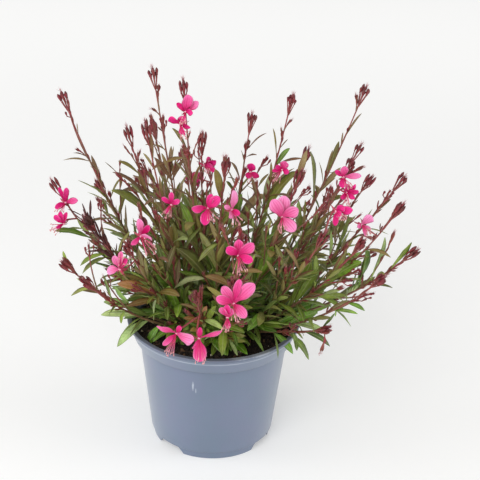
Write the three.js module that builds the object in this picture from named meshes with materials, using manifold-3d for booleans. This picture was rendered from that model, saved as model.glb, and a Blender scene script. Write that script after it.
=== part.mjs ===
// A young gaura in a round plastic nursery pot, in millimetres, +Z up.
// The plant is an open dome of leafy stems that fan out of one crown. Every stem, shoot, leaf and bud
// is grown by the same few rules from the tips and blooms listed below.
import * as THREE from 'three';
import { mergeVertices } from 'three/addons/utils/BufferGeometryUtils.js';
import Module from 'manifold-3d';

const wasm = await Module();
wasm.setup();

// Pot
const rimRadius = 65;
const potHeight = 98.5;
const lipHeight = 2.8;
const lipOverhang = 1.4;
const bandBottomRadius = 59.6;
const bandBottomZ = 84.6;
const bodyTopRadius = 55.9;
const bodyBottomRadius = 46.7;
const footRadius = 44.9;
const footHeight = 6.2;
const wallThickness = 1.5;
const floorThickness = 1.6;
const potSides = 36;
const notchWidth = 18;
const notchHeight = 5.6;
const notchSlant = 3;
const notchAngles = [-42.5, 59.5, 137.5, 239.5]; // degrees from the front to the right
const drainHoleCount = 6;
const drainHoleRadius = 4;
const drainHoleRing = 30;

// Soil
const soilTop = 91.5;
const soilRelief = 1.2;
const soilSides = 24;
const clearance = 0.3;

// Stems
const crownShare = 0.24;
const rootDepth = 9;
const collarHeight = 2.5;
const stemRadius = 1.25;
const tipRadius = 0.55;
const stemSteps = 5;
const swayReach = 4;
const shootRadius = 0.75;
const shootStart = 0.42;
const shootStartSpread = 0.3;
const shootLength = 0.2;
const shootLengthSpread = 0.14;
const shootLean = 0.62;
const shootRise = 0.3;

// Leaves
const leafThickness = 1;
const leafTries = 10;
const leastBody = 0.1;
const goldenAngle = 2.39996;

// Buds
const budLength = 15;
const budRadius = 1.15;

// Blooms
const petalLength = 14;
const petalHalfWidth = 4.1;
const petalThickness = 0.9;
const tubeLength = 7;
const tubeRadius = 0.8;
const stamenLength = 12;

const seed = 20;

// Each main stem by its tip: across, depth and height in mm from the middle of the pot's foot, how far
// it sweeps outward before it turns up, and how many leaves it has.
const mainStems = {
  leftTall: [-116, 45, 257, 0.16, 7],
  leftBloom: [-120, 10, 202, 0.2, 7],
  leftLow: [-107, -40, 162, 0.24, 7],
  leftSprawl: [-90, -57, 157, 0.26, 6],
  leftDry: [-91, -32, 194, 0.14, 6],
  leftInner: [-67, 30, 237, 0.12, 7],
  tallest: [-47, 15, 288, 0.1, 7],
  frontLeftTall: [-49, -25, 261, 0.12, 7],
  backLeftInner: [-51, 62, 231, 0.12, 6],
  centreBloom: [-24, -10, 289, 0.08, 7],
  backCentreLeft: [-28, 72, 203, 0.14, 6],
  centreBack: [-12, 30, 234, 0.1, 6],
  centreRight: [24, 35, 248, 0.1, 6],
  rightUpright: [52, 8, 274, 0.1, 7],
  backRightInner: [68, 60, 212, 0.16, 6],
  frontRightTall: [58, -45, 239, 0.12, 7],
  rightTall: [104, 20, 277, 0.14, 7],
  rightBack: [106, 52, 219, 0.16, 6],
  rightMiddle: [96, -8, 232, 0.16, 7],
  backRightFar: [118, 74, 184, 0.2, 6],
  rightReach: [136, 15, 211, 0.16, 7],
  rightUpturned: [131, -28, 209, 0.24, 7],
  frontRightShort: [104, -52, 192, 0.2, 6],
  rightFar: [145, -18, 168, 0.24, 6],
  frontRightLow: [118, -62, 169, 0.26, 6],
  frontCentre: [7, -40, 245, 0.1, 6],
  frontRightHead: [75, -72, 206, 0.16, 6],
  frontRed: [-12, -84, 163, 0.2, 6],
  overRim: [83, -60, 124, 0.1, 5],
  frontLeftBloom: [-50, -57, 206, 0.14, 7],
  leftFrontBloom: [-60, -64, 190, 0.18, 6],
  frontRightBloom: [20, -84, 208, 0.16, 7],
  frontBloom: [14, -104, 186, 0.24, 6],
  backLeft: [-95, 78, 172, 0.2, 6],
  backLeftOuter: [-62, 104, 172, 0.2, 6],
  backMiddle: [-8, 114, 176, 0.2, 7],
  backRight: [46, 106, 174, 0.2, 6],
  backRightOuter: [90, 99, 154, 0.24, 6],
};

// The side shoots that the photograph places: where each leaves its stem, as a share of the stem, and its tip.
const placedShoots = {
  tallest: [0.58, [-38, -10, 261]],
  centreBloom: [0.58, [-20, -26, 244]],
  rightUpright: [0.4, [66, -2, 208]],
  rightTall: [0.4, [75, 38, 189]],
  rightBack: [0.5, [97, 54, 176]],
  rightMiddle: [0.5, [83, 22, 197]],
};

// Each bloom: its node, the stem that carries it, the throat's place, the way it faces (degrees from the
// front to the right, and up), the turn of its petal fan and its size.
const blooms = [
  ['bloom_top', 'centreBloom', [-22, -17, 268], [10, 10], 20, 0.85],
  ['bloom_top', 'centreBloom', [-26, -18, 259], [-30, -10], -40, 0.85],
  ['bloom_left', 'leftBloom', [-109, 1, 188], [10, 15], 15, 0.95],
  ['bloom_left_low', 'leftBloom', [-110, -6, 174], [-10, -10], -20, 0.7],
  ['bloom_front_left', 'frontLeftBloom', [-49, -66, 196], [20, 5], 10, 0.9],
  ['bloom_left_front', 'leftFrontBloom', [-63, -76, 176], [-20, 40], -10, 0.9],
  ['bloom_middle_left', 'frontLeftTall', [-30, -44, 210], [0, 20], 0, 0.75],
  ['bloom_middle', 'frontCentre', [-5, -46, 209], [-15, 5], 40, 0.9],
  ['bloom_pale', 'frontCentre', [12, -54, 212], [25, 0], -10, 0.9],
  ['bloom_wide', 'frontRightTall', [46, -58, 210], [0, 10], 40, 1.05],
  ['bloom_front_right', 'frontRightBloom', [17, -90, 196], [0, 10], 25, 1.0],
  ['bloom_front', 'frontBloom', [15, -105, 168], [-5, 15], 5, 1.05],
  ['bloom_front', 'frontBloom', [11, -107, 158], [-15, -20], -30, 0.75],
  ['bloom_over_rim_left', 'frontRed', [-24, -82, 130], [-20, 0], -50, 0.95],
  ['bloom_over_rim_right', 'frontRed', [-8, -88, 130], [15, -15], 60, 1.0],
  ['bloom_right_high', 'rightMiddle', [89, -16, 222], [0, 15], -10, 0.9],
  ['bloom_right_high', 'rightMiddle', [92, -18, 211], [20, -5], 30, 0.9],
  ['bloom_right_deep', 'frontRightHead', [82, -62, 217], [10, 0], 0, 0.85],
  ['bloom_right_pale', 'rightUpturned', [102, -42, 198], [20, 10], 30, 0.85],
  ['bloom_upper_right', 'rightUpright', [46, -6, 222], [-10, 10], 0, 0.7],
  ['bloom_upper_middle', 'centreRight', [24, 20, 208], [-10, 10], 10, 0.7],
  ['bloom_upper_left', 'centreBack', [-9, 14, 215], [50, 0], 0, 0.75],
  ['bloom_back', 'backMiddle', [-20, 112, 166], [190, 10], 0, 0.9],
];

// A repeatable draw between 0 and 1.
function seededRandom(start) {
  let state = start;
  return () => {
    state = (state * 1664525 + 1013904223) % 4294967296;
    return state / 4294967296;
  };
}

const vec = (x, y, z) => new THREE.Vector3(x, y, z);
const up = vec(0, 0, 1);
const toRadians = THREE.MathUtils.degToRad;

function toSolid(geometry) {
  geometry.deleteAttribute('normal');
  geometry.deleteAttribute('uv');
  const merged = mergeVertices(geometry, 1e-4);
  return new wasm.Manifold(new wasm.Mesh({
    numProp: 3,
    vertProperties: new Float32Array(merged.attributes.position.array),
    triVerts: new Uint32Array(merged.index.array),
  }));
}

function toGeometry(solid) {
  const mesh = solid.getMesh();
  const geometry = new THREE.BufferGeometry();
  geometry.setAttribute('position', new THREE.Float32BufferAttribute(mesh.vertProperties, 3));
  geometry.setIndex(new THREE.Uint32BufferAttribute(mesh.triVerts, 1));
  geometry.computeVertexNormals();
  return geometry;
}

// A closed body through rings of points, turning anticlockwise as seen from ahead. A ring of one point
// is a tip. The diagonals alternate, so that both faces of a thin blade are split alike. In the band
// that starts at one ring, each facet may grow a bud: growBud gives its waist and its tip.
function loft(rings, budBand = -1, growBud = null) {
  const points = rings.flat();
  const index = [];
  let start = 0;
  const addFacet = (facet, band) => {
    const bud = band === budBand ? growBud(facet.map((corner) => points[corner])) : null;
    if (!bud) {
      index.push(...facet);
      return;
    }
    const first = points.length;
    points.push(...bud.waist, bud.tip);
    for (let j = 0; j < 3; j += 1) {
      const k = (j + 1) % 3;
      index.push(facet[j], facet[k], first + k, facet[j], first + k, first + j, first + j, first + k, first + 3);
    }
  };
  for (let i = 0; i + 1 < rings.length; i += 1) {
    const here = rings[i].length;
    const next = rings[i + 1].length;
    const sides = Math.max(here, next);
    for (let j = 0; j < sides; j += 1) {
      const k = (j + 1) % sides;
      const a = start + (here > 1 ? j : 0);
      const b = start + (here > 1 ? k : 0);
      const c = start + here + (next > 1 ? k : 0);
      const d = start + here + (next > 1 ? j : 0);
      if (here === 1) addFacet([a, c, d], i);
      else if (next === 1) addFacet([a, b, c], i);
      else if (j % 2 === 0) [[a, b, c], [a, c, d]].forEach((facet) => addFacet(facet, i));
      else [[a, b, d], [b, c, d]].forEach((facet) => addFacet(facet, i));
    }
    start += here;
  }
  const last = rings[rings.length - 1];
  for (let j = 1; j + 1 < rings[0].length; j += 1) index.push(0, j + 1, j);
  for (let j = 1; j + 1 < last.length; j += 1) index.push(start, start + j, start + j + 1);
  const geometry = new THREE.BufferGeometry();
  geometry.setAttribute('position', new THREE.Float32BufferAttribute(points.flatMap((p) => p.toArray()), 3));
  geometry.setIndex(index);
  return toSolid(geometry);
}

// Two directions square to a given one, the first as level as it can be.
function crossways(direction) {
  const first = Math.abs(direction.z) > 0.999 ? vec(1, 0, 0) : direction.clone().cross(up).normalize();
  return [first, direction.clone().cross(first)];
}

// Points round a centre, square to a direction. The first of them lies along a, also square to it.
function ring(centre, direction, radius, sides, a = crossways(direction)[0]) {
  const b = direction.clone().cross(a);
  return Array.from({ length: sides }, (_, j) => {
    const angle = (2 * Math.PI * j) / sides;
    return centre.clone()
      .addScaledVector(a, radius * Math.cos(angle))
      .addScaledVector(b, radius * Math.sin(angle));
  });
}

// A slim round body from one point to another, thickest at a given share of its length.
function spindle(from, to, radius, thickest, sides = 3) {
  const direction = to.clone().sub(from).normalize();
  return loft([[from], ring(from.clone().lerp(to, thickest), direction, radius, sides), [to]]);
}

function rod(from, to, fromRadius, toRadius, sides = 3) {
  const direction = to.clone().sub(from).normalize();
  return loft([ring(from, direction, fromRadius, sides), ring(to, direction, toRadius, sides)]);
}

function tangentOf(curve, t) {
  return curve.v1.clone().sub(curve.v0).multiplyScalar(1 - t)
    .addScaledVector(curve.v2.clone().sub(curve.v1), t)
    .normalize();
}

// A direction leaned away from an axis, by an angle, towards a turn about that axis.
function leaned(axis, turn, lean) {
  const [a, b] = crossways(axis);
  const aside = a.multiplyScalar(Math.cos(turn)).addScaledVector(b, Math.sin(turn));
  return axis.clone().multiplyScalar(Math.cos(lean)).addScaledVector(aside, Math.sin(lean));
}

// A line that runs straight between points at even shares of a curve, as a faceted stalk does. Its
// hinge, where it has one, is square to the whole curve and keeps its rings from turning.
class FacetedLine {
  constructor(curve, steps, hinge) {
    this.curve = curve;
    this.steps = steps;
    this.hinge = hinge;
    this.length = curve.v0.distanceTo(curve.v2);
  }

  getPoint(t) {
    const step = Math.min(this.steps - 1, Math.floor(t * this.steps));
    const before = this.curve.getPoint(step / this.steps);
    return before.lerp(this.curve.getPoint((step + 1) / this.steps), t * this.steps - step);
  }

  heading(t) {
    return tangentOf(this.curve, t);
  }

  ringAt(t, radius) {
    return ring(this.getPoint(t), this.heading(t), radius, 3, this.hinge);
  }
}

// Room that is already taken, as balls strung along each piece. Two pieces of one stem may meet only
// where they are rooted.
const taken = [];

function ballsAlong(curve, radiusAt, count, rootShare) {
  return Array.from({ length: count }, (_, i) => {
    const t = (i + 0.5) / count;
    return { centre: curve.getPoint(t), radius: radiusAt(t), rooted: t < rootShare };
  });
}

function clearOfPot(ball) {
  const reach = Math.hypot(ball.centre.x, ball.centre.y);
  const gap = ball.radius + 0.8;
  if (reach < bandBottomRadius) return ball.centre.z > soilTop + soilRelief + gap;
  return ball.centre.z > potHeight + gap || reach > rimRadius + gap;
}

function hasRoom(balls, owner) {
  return balls.every((ball) => (ball.rooted || clearOfPot(ball)) && taken.every((other) => {
    if (other.owner === owner && (ball.rooted || other.rooted)) return true;
    const reach = ball.radius + other.radius + 0.5;
    return ball.centre.distanceToSquared(other.centre) > reach * reach;
  }));
}

function take(balls, owner) {
  balls.forEach((ball) => taken.push({ ...ball, owner }));
}

// A blade along an arched line, flat above and keeled below.
function blade(curve, side, halfWidths, thickness) {
  const rings = halfWidths.map(([t, halfWidth]) => {
    const centre = curve.getPoint(t);
    const below = side.clone().cross(tangentOf(curve, t)).normalize();
    return [
      centre.clone().addScaledVector(side, halfWidth),
      centre.clone().addScaledVector(side, -halfWidth),
      centre.clone().addScaledVector(below, thickness),
    ];
  });
  return loft([[curve.getPoint(0)], ...rings, [curve.getPoint(1)]]);
}

// A line that leaves in one direction and droops by an angle on its way.
function archedLine(from, direction, length, droop) {
  const level = direction.clone().cross(up).normalize();
  const later = direction.clone().applyAxisAngle(level, -droop);
  const bend = from.clone().addScaledVector(direction, length / 2);
  return new THREE.QuadraticBezierCurve3(from, bend, bend.clone().addScaledVector(later, length / 2));
}

function leafWidths(halfWidth, large) {
  return large
    ? [[0.24, halfWidth * 0.66], [0.5, halfWidth], [0.78, halfWidth * 0.62]]
    : [[0.34, halfWidth * 0.86], [0.68, halfWidth * 0.8]];
}

class Stem {
  constructor(name, [across, depth, height, sweep, leafCount]) {
    this.name = name;
    this.random = seededRandom(seed + 7919 * Object.keys(mainStems).indexOf(name));
    this.leafCount = leafCount;
    const tip = vec(across, depth, height);
    const foot = vec(across * crownShare, depth * crownShare, soilTop + collarHeight);
    const sideways = tip.clone().sub(foot).cross(up).normalize();
    const bend = vec(
      foot.x + (tip.x - foot.x) * (0.5 + sweep / 2),
      foot.y + (tip.y - foot.y) * (0.5 + sweep / 2),
      foot.z + (tip.z - foot.z) * (0.5 - sweep / 2),
    ).addScaledVector(sideways, (2 * this.random() - 1) * swayReach);
    this.foot = foot;
    this.line = new FacetedLine(new THREE.QuadraticBezierCurve3(foot, bend, tip), stemSteps);
    this.parts = [];
    take(ballsAlong(this.line, () => stemRadius + 0.2, Math.ceil(this.line.length / 4), 2), name);
  }

  // Rings round the end of a line: a swollen band that carries a tuft of buds, and the middle bud.
  tuftRings(line, size) {
    const share = (budLength * size) / line.length;
    const radius = budRadius * (0.4 + 0.6 * size);
    const bandStart = 1 - 1.1 * share;
    const bandEnd = 1 - 0.8 * share;
    const waist = 1 - 0.35 * share;
    return [
      line.ringAt(bandStart, radius * 0.8),
      line.ringAt(bandEnd, radius * 0.9),
      line.ringAt(waist, radius * 0.9),
      [line.getPoint(1)],
    ];
  }

  // A slim club-shaped bud on one facet of the band, leaning away from the middle of the band.
  bud(line, facet, size, spread) {
    const middleOfBand = line.getPoint(1 - (0.95 * budLength * size) / line.length);
    const axis = line.getPoint(1).sub(middleOfBand).normalize();
    const base = facet[0].clone().add(facet[1]).add(facet[2]).divideScalar(3);
    const aside = base.clone().sub(middleOfBand).projectOnPlane(axis).normalize();
    const lean = spread * (0.85 + 0.4 * this.random());
    const direction = axis.clone().multiplyScalar(Math.cos(lean)).addScaledVector(aside, Math.sin(lean));
    const length = budLength * size * (0.8 + 0.25 * this.random());
    const middle = base.clone().addScaledVector(direction, 0.66 * length);
    const radius = budRadius * (0.4 + 0.6 * size);
    const waist = facet.map((corner) => {
      const outward = corner.clone().sub(base).projectOnPlane(direction).setLength(radius);
      return outward.add(middle);
    });
    return { waist, tip: base.addScaledVector(direction, length) };
  }

  // The part below the collar stands straight in its hole in the soil.
  growStalk() {
    const first = crossways(this.line.heading(0))[0];
    const rings = [
      ring(vec(this.foot.x, this.foot.y, soilTop - rootDepth), up, stemRadius, 3, first),
      ring(this.foot, up, stemRadius, 3, first),
    ];
    for (let i = 1; i < stemSteps; i += 1) {
      const t = i / stemSteps;
      rings.push(this.line.ringAt(t, THREE.MathUtils.lerp(stemRadius, tipRadius, t)));
    }
    rings.push(...this.tuftRings(this.line, 1));
    this.parts.push(loft(rings, stemSteps + 1, (facet) => this.bud(this.line, facet, 1, 0.2)));
    take(ballsAlong(this.line, (t) => (t > 1 - budLength / this.line.length ? 3.4 : 0.8), 12, 2), this.name);
  }

  // where a side shoot leaves the stem, the way it sets off and its length
  shootCourse() {
    const t = shootStart + shootStartSpread * this.random();
    const turn = 2 * Math.PI * this.random();
    const length = this.line.length * (shootLength + shootLengthSpread * this.random());
    if (!(this.name in placedShoots)) {
      return [this.line.getPoint(t), leaned(this.line.heading(t), turn, shootLean), length];
    }
    const [share, tip] = placedShoots[this.name];
    const from = this.line.getPoint(share);
    const chord = vec(...tip).sub(from);
    const reach = chord.length() / Math.cos(shootRise / 2);
    const direction = chord.normalize();
    const level = direction.clone().cross(up).normalize();
    return [from, direction.applyAxisAngle(level, -shootRise / 2), reach];
  }

  growShoot() {
    for (let attempt = 0; attempt < leafTries; attempt += 1) {
      const [from, direction, length] = this.shootCourse();
      const hinge = crossways(direction)[0];
      const line = new FacetedLine(archedLine(from, direction, length, -shootRise), 2, hinge);
      const balls = ballsAlong(line, (s) => (s > 0.7 ? 3.4 : 1.3), 10, 0.16);
      if (!hasRoom(balls, this.name)) continue;
      take(balls, this.name);
      const rings = [[from], line.ringAt(0.1, shootRadius), ...this.tuftRings(line, 0.6)];
      let facets = 0;
      this.parts.push(loft(rings, 2, (facet) => {
        facets += 1;
        return facets % 2 ? this.bud(line, facet, 0.6, 0.45) : null;
      }));
      return;
    }
  }

  growLeaves() {
    for (let i = 0; i < this.leafCount; i += 1) {
      const rank = (i + 0.5) / this.leafCount;
      for (let attempt = 0; attempt < leafTries; attempt += 1) {
        const t = 0.04 + 0.72 * rank ** 1.3 + 0.05 * (this.random() - 0.5);
        const turn = goldenAngle * i + 2.2 * (this.random() - 0.5) * (1 + attempt * 0.4);
        const fit = 1 - 0.06 * attempt;
        const length = (44 - 24 * rank) * (0.85 + 0.3 * this.random()) * fit;
        const halfWidth = length * (0.095 + 0.02 * this.random()) * fit;
        const axis = this.line.heading(t);
        const direction = leaned(axis, turn, 0.75 + 0.25 * this.random());
        const line = archedLine(this.line.getPoint(t), direction, length, 0.35 + 0.4 * this.random());
        const balls = ballsAlong(line, (s) => halfWidth * Math.min(1, 1.5 * Math.sin(Math.PI * s)), 8, 0.2);
        if (!hasRoom(balls, this.name)) continue;
        take(balls, this.name);
        const side = line.v1.clone().sub(line.v0).cross(axis).normalize().negate();
        this.parts.push(blade(line, side, leafWidths(halfWidth, i === 0), leafThickness));
        break;
      }
    }
  }

  nearestShare(point) {
    let best = 0;
    for (let t = 0; t <= 1; t += 0.01) {
      if (this.line.getPoint(t).distanceTo(point) < this.line.getPoint(best).distanceTo(point)) best = t;
    }
    return best;
  }

  // Where two surfaces graze each other, a sliver can be cut off between them: it is dropped.
  solid() {
    const bodies = this.parts.reduce((whole, next) => whole.add(next)).decompose();
    return wasm.Manifold.compose(bodies.filter((body) => body.volume() > leastBody));
  }
}

class Bloom {
  constructor([node, stemName, place, [turn, rise], fanTurn, size]) {
    this.node = node;
    this.stemName = stemName;
    this.size = size;
    this.throat = vec(...place);
    this.ahead = vec(0, -1, 0)
      .applyAxisAngle(vec(1, 0, 0), -toRadians(rise))
      .applyAxisAngle(up, toRadians(turn));
    this.right = this.ahead.clone().cross(up).normalize();
    this.above = this.right.clone().cross(this.ahead);
    this.fanTurn = toRadians(fanTurn);
  }

  get tubeEnd() {
    return this.throat.clone().addScaledVector(this.ahead, -tubeLength * this.size);
  }

  // A direction in the petal fan: an angle from straight up towards the flower's left, leaned ahead.
  fan(angle, lean) {
    return this.above.clone().multiplyScalar(Math.cos(angle))
      .addScaledVector(this.right, -Math.sin(angle))
      .multiplyScalar(Math.cos(lean))
      .addScaledVector(this.ahead, Math.sin(lean));
  }

  petal(angle) {
    const outward = this.fan(angle, 0.5);
    const later = this.fan(angle, 0.1);
    const length = petalLength * this.size;
    const from = this.throat.clone().addScaledVector(this.ahead, -0.8);
    const bend = from.clone().addScaledVector(outward, length / 2);
    const line = new THREE.QuadraticBezierCurve3(from, bend, bend.clone().addScaledVector(later, length / 2));
    const side = this.ahead.clone().cross(outward).normalize();
    const widest = petalHalfWidth * this.size;
    return blade(line, side, [[0.34, 0.9], [0.7, widest], [0.9, widest * 0.7]], petalThickness);
  }

  stamen(angle, lean, length) {
    const direction = this.fan(angle, lean);
    const to = this.throat.clone().addScaledVector(direction, length * this.size);
    return spindle(this.throat.clone().addScaledVector(this.ahead, -0.6), to, 0.55, 0.9);
  }

  parts() {
    const petalAngles = [-84, -30, 30, 84].map((angle) => toRadians(angle) - this.fanTurn);
    const stamenAngles = [-36, -12, 12, 36].map((angle) => Math.PI + toRadians(angle));
    return [
      rod(this.tubeEnd, this.throat, tubeRadius, tubeRadius * 1.6, 3),
      ...petalAngles.map((angle) => this.petal(angle)),
      ...stamenAngles.map((angle, i) => this.stamen(angle, 0.75 - 0.12 * (i % 2), stamenLength)),
    ];
  }

  balls() {
    const petalAngles = [-84, -30, 30, 84].map((angle) => toRadians(angle) - this.fanTurn);
    const petals = petalAngles.map((angle) => this.throat.clone().addScaledVector(this.fan(angle, 0.3), 9 * this.size));
    const hang = this.throat.clone().addScaledVector(this.fan(Math.PI, 0.7), 8 * this.size);
    return [
      { centre: this.throat, radius: 3, rooted: false },
      { centre: this.tubeEnd, radius: 1.2, rooted: true },
      { centre: hang, radius: 5.5 * this.size, rooted: false },
      ...petals.map((centre) => ({ centre, radius: 5.5 * this.size, rooted: false })),
    ];
  }
}

function makePot() {
  const outer = [
    [footRadius, 0], [footRadius + 0.4, footHeight - 0.5], [bodyBottomRadius, footHeight],
    [bodyTopRadius, bandBottomZ - 0.8], [bandBottomRadius, bandBottomZ],
    [rimRadius - lipOverhang, potHeight - lipHeight], [rimRadius, potHeight - lipHeight + 0.5],
    [rimRadius, potHeight],
  ];
  const inner = [
    [rimRadius - lipOverhang - 2, potHeight],
    [bandBottomRadius - wallThickness, bandBottomZ + 1],
    [bodyTopRadius - wallThickness, bandBottomZ - 1.8],
    [bodyBottomRadius - wallThickness, footHeight + floorThickness],
    [0, footHeight + floorThickness],
  ];
  const underside = [[0, footHeight], [footRadius - wallThickness, footHeight], [footRadius - wallThickness, 0]];
  const profile = [...underside, ...outer, ...inner].map(([r, z]) => new THREE.Vector2(r, z));
  const body = new THREE.LatheGeometry(profile, potSides).rotateX(Math.PI / 2);
  let pot = toSolid(body);
  const arch = new THREE.Shape([
    [-notchWidth / 2 - notchSlant, -1], [notchWidth / 2 + notchSlant, -1],
    [notchWidth / 2 - notchSlant, notchHeight], [notchSlant - notchWidth / 2, notchHeight],
  ].map(([x, z]) => new THREE.Vector2(x, z)));
  for (const angle of notchAngles) {
    const notch = new THREE.ExtrudeGeometry(arch, { depth: 12, bevelEnabled: false }).rotateX(Math.PI / 2);
    notch.translate(0, 6 - footRadius, 0).rotateZ(toRadians(angle));
    pot = pot.subtract(toSolid(notch));
  }
  for (let i = 0; i < drainHoleCount; i += 1) {
    const hole = new THREE.CylinderGeometry(drainHoleRadius, drainHoleRadius, 12, 10).rotateX(Math.PI / 2);
    hole.translate(drainHoleRing, 0, footHeight).rotateZ(((i + 0.5) * 2 * Math.PI) / drainHoleCount);
    pot = pot.subtract(toSolid(hole));
  }
  return pot;
}

// The soil's top rises and falls a little, and each stem has a plain hole in it.
function makeSoil(stems) {
  const floor = footHeight + floorThickness + clearance;
  const fit = wallThickness + clearance + 0.3;
  const shoulderShare = (soilTop - bandBottomZ - 1) / (potHeight - bandBottomZ - 1);
  const topRadius = THREE.MathUtils.lerp(bandBottomRadius, rimRadius - lipOverhang, shoulderShare) - fit - 0.4;
  const profile = [
    [0, floor], [bodyBottomRadius - fit, floor], [bodyTopRadius - fit, bandBottomZ - 2],
    [bandBottomRadius - fit - 0.4, bandBottomZ + 1.6], [topRadius, soilTop - 0.6],
    [44, soilTop], [30, soilTop], [15, soilTop], [0, soilTop],
  ].map(([r, z]) => new THREE.Vector2(r, z));
  const body = new THREE.LatheGeometry(profile, soilSides).rotateX(Math.PI / 2);
  const place = body.attributes.position;
  for (let i = 0; i < place.count; i += 1) {
    if (place.getZ(i) < soilTop - 0.1) continue;
    const x = place.getX(i);
    const y = place.getY(i);
    const relief = Math.sin(x / 6.1 + 1) * Math.cos(y / 7.3) + 0.5 * Math.sin((x + y) / 3.7);
    place.setZ(i, soilTop + (soilRelief / 1.5) * relief);
  }
  let soil = toSolid(body);
  for (const stem of stems) {
    const from = vec(stem.foot.x, stem.foot.y, soilTop - rootDepth - clearance);
    const to = vec(stem.foot.x, stem.foot.y, soilTop + 8);
    const [low, high] = [from, to].map((end) => {
      return ring(end, up, stemRadius + 2 * clearance, 3, crossways(stem.line.heading(0))[0]);
    });
    soil = soil.subtract(loft([low, high]));
  }
  return soil;
}

const stems = Object.entries(mainStems).map(([name, values]) => new Stem(name, values));
const stemByName = Object.fromEntries(stems.map((stem) => [stem.name, stem]));

for (const stem of stems) stem.growStalk();

// Each bloom's tube ends just short of a short stalk that its stem sends out to it.
const bloomParts = new Map();
for (const row of blooms) {
  const bloom = new Bloom(row);
  const stem = stemByName[bloom.stemName];
  const end = bloom.tubeEnd;
  const root = stem.line.getPoint(Math.max(0.05, stem.nearestShare(end) - 0.04));
  const reach = end.clone().addScaledVector(bloom.ahead, -clearance);
  const kink = reach.clone().addScaledVector(bloom.ahead, -1.5);
  const heading = kink.clone().sub(root).normalize();
  const hinge = heading.clone().cross(bloom.ahead).normalize();
  stem.parts.push(loft([
    ring(root, heading, shootRadius, 3, hinge),
    ring(kink, heading.clone().add(bloom.ahead).normalize(), tubeRadius, 3, hinge),
    ring(reach, bloom.ahead, tubeRadius, 3, hinge),
  ]));
  if (!bloomParts.has(bloom.node)) bloomParts.set(bloom.node, []);
  bloomParts.get(bloom.node).push(...bloom.parts());
  take(bloom.balls(), bloom.stemName);
}

for (const stem of stems) stem.growShoot();
for (const stem of stems) stem.growLeaves();

function addMesh(group, name, solid, color, roughness) {
  const material = new THREE.MeshStandardMaterial({ color, roughness, metalness: 0 });
  const mesh = new THREE.Mesh(toGeometry(solid), material);
  mesh.name = name;
  group.add(mesh);
}

const plant = new THREE.Group();
addMesh(plant, 'pot', makePot(), 0x808ca2, 0.45);
addMesh(plant, 'soil', makeSoil(stems), 0x1d1714, 0.95);
stems.forEach((stem, i) => {
  addMesh(plant, `leafy_stem_${String(i + 1).padStart(2, '0')}`, stem.solid(), 0x58652f, 0.6);
});
for (const [node, parts] of bloomParts) {
  addMesh(plant, node, parts.reduce((whole, next) => whole.add(next)), 0xf5479f, 0.55);
}

// The origin is the middle of the whole object's box, on the surface it stands on.
const box = new THREE.Box3().setFromObject(plant);
const centre = box.getCenter(new THREE.Vector3());
plant.position.set(-centre.x, -centre.y, -box.min.z);

export default plant;
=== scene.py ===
# Looks of the potted gaura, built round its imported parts.
# Blender works in metres; the growth rules below work in millimetres from the middle of the pot's foot.
from math import ceil, cos, floor, hypot, pi, radians, sin, sqrt

import bmesh
import bpy
import numpy as np
from mathutils import Matrix, Vector


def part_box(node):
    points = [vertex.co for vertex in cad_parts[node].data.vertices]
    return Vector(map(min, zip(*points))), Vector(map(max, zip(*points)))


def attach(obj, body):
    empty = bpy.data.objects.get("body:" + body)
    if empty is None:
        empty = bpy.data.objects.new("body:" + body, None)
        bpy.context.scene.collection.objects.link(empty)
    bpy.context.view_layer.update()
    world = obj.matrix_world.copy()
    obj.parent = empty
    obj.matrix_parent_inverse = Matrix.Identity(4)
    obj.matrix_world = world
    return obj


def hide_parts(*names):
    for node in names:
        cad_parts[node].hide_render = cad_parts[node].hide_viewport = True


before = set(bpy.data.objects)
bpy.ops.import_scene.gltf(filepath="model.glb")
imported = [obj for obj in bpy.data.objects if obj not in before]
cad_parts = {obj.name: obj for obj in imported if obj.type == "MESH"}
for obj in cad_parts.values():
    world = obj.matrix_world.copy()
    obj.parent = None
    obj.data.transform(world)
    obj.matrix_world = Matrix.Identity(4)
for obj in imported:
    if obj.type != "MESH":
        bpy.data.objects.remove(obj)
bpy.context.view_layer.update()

mm = 0.001
fullTurn = 6.28
potLow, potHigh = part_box("pot")
potAxis = np.array([(potLow.x + potHigh.x) / 2, (potLow.y + potHigh.y) / 2, 0.0])
print("frame loaded:", len(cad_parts), "nodes")


# small helpers for colours, nodes and meshes

def hexColor(code):
    channels = [int(code[i:i + 2], 16) / 255 for i in (0, 2, 4)]
    return tuple(c / 12.92 if c <= 0.04045 else ((c + 0.055) / 1.055) ** 2.4 for c in channels) + (1.0,)


class Wire:
    # an output of a node; sums with it become math nodes of the same tree
    def __init__(self, tree, socket):
        self.tree, self.socket, self.isVector = tree, socket, socket.type == "VECTOR"

    def math(self, operation, *others, output=0):
        kind = "ShaderNodeVectorMath" if self.isVector else "ShaderNodeMath"
        return addNode(self.tree, kind, dict(enumerate((self,) + others)), operation=operation)[output]

    def __add__(self, other):
        return self.math("ADD", other)

    def __sub__(self, other):
        return self.math("SUBTRACT", other)

    def __mul__(self, other):
        if not self.isVector or isinstance(other, tuple) or getattr(other, "isVector", False):
            return self.math("MULTIPLY", other)
        return addNode(self.tree, "ShaderNodeVectorMath", {0: self, "Scale": other}, operation="SCALE")[0]

    def __rtruediv__(self, other):
        return addNode(self.tree, "ShaderNodeMath", {0: other, 1: self}, operation="DIVIDE")[0]

    def parts(self):
        made = addNode(self.tree, "ShaderNodeSeparateXYZ", {0: self})
        return made[0], made[1], made[2]


class Made:
    # a node just added; its outputs are taken by number or name
    def __init__(self, tree, node):
        self.tree, self.node = tree, node

    def __getitem__(self, key):
        return Wire(self.tree, self.node.outputs[key])


def plug(socket, value):
    if isinstance(value, Wire):
        value.tree.links.new(value.socket, socket)
    else:
        socket.default_value = hexColor(value) if socket.type == "RGBA" and isinstance(value, str) else value


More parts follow.
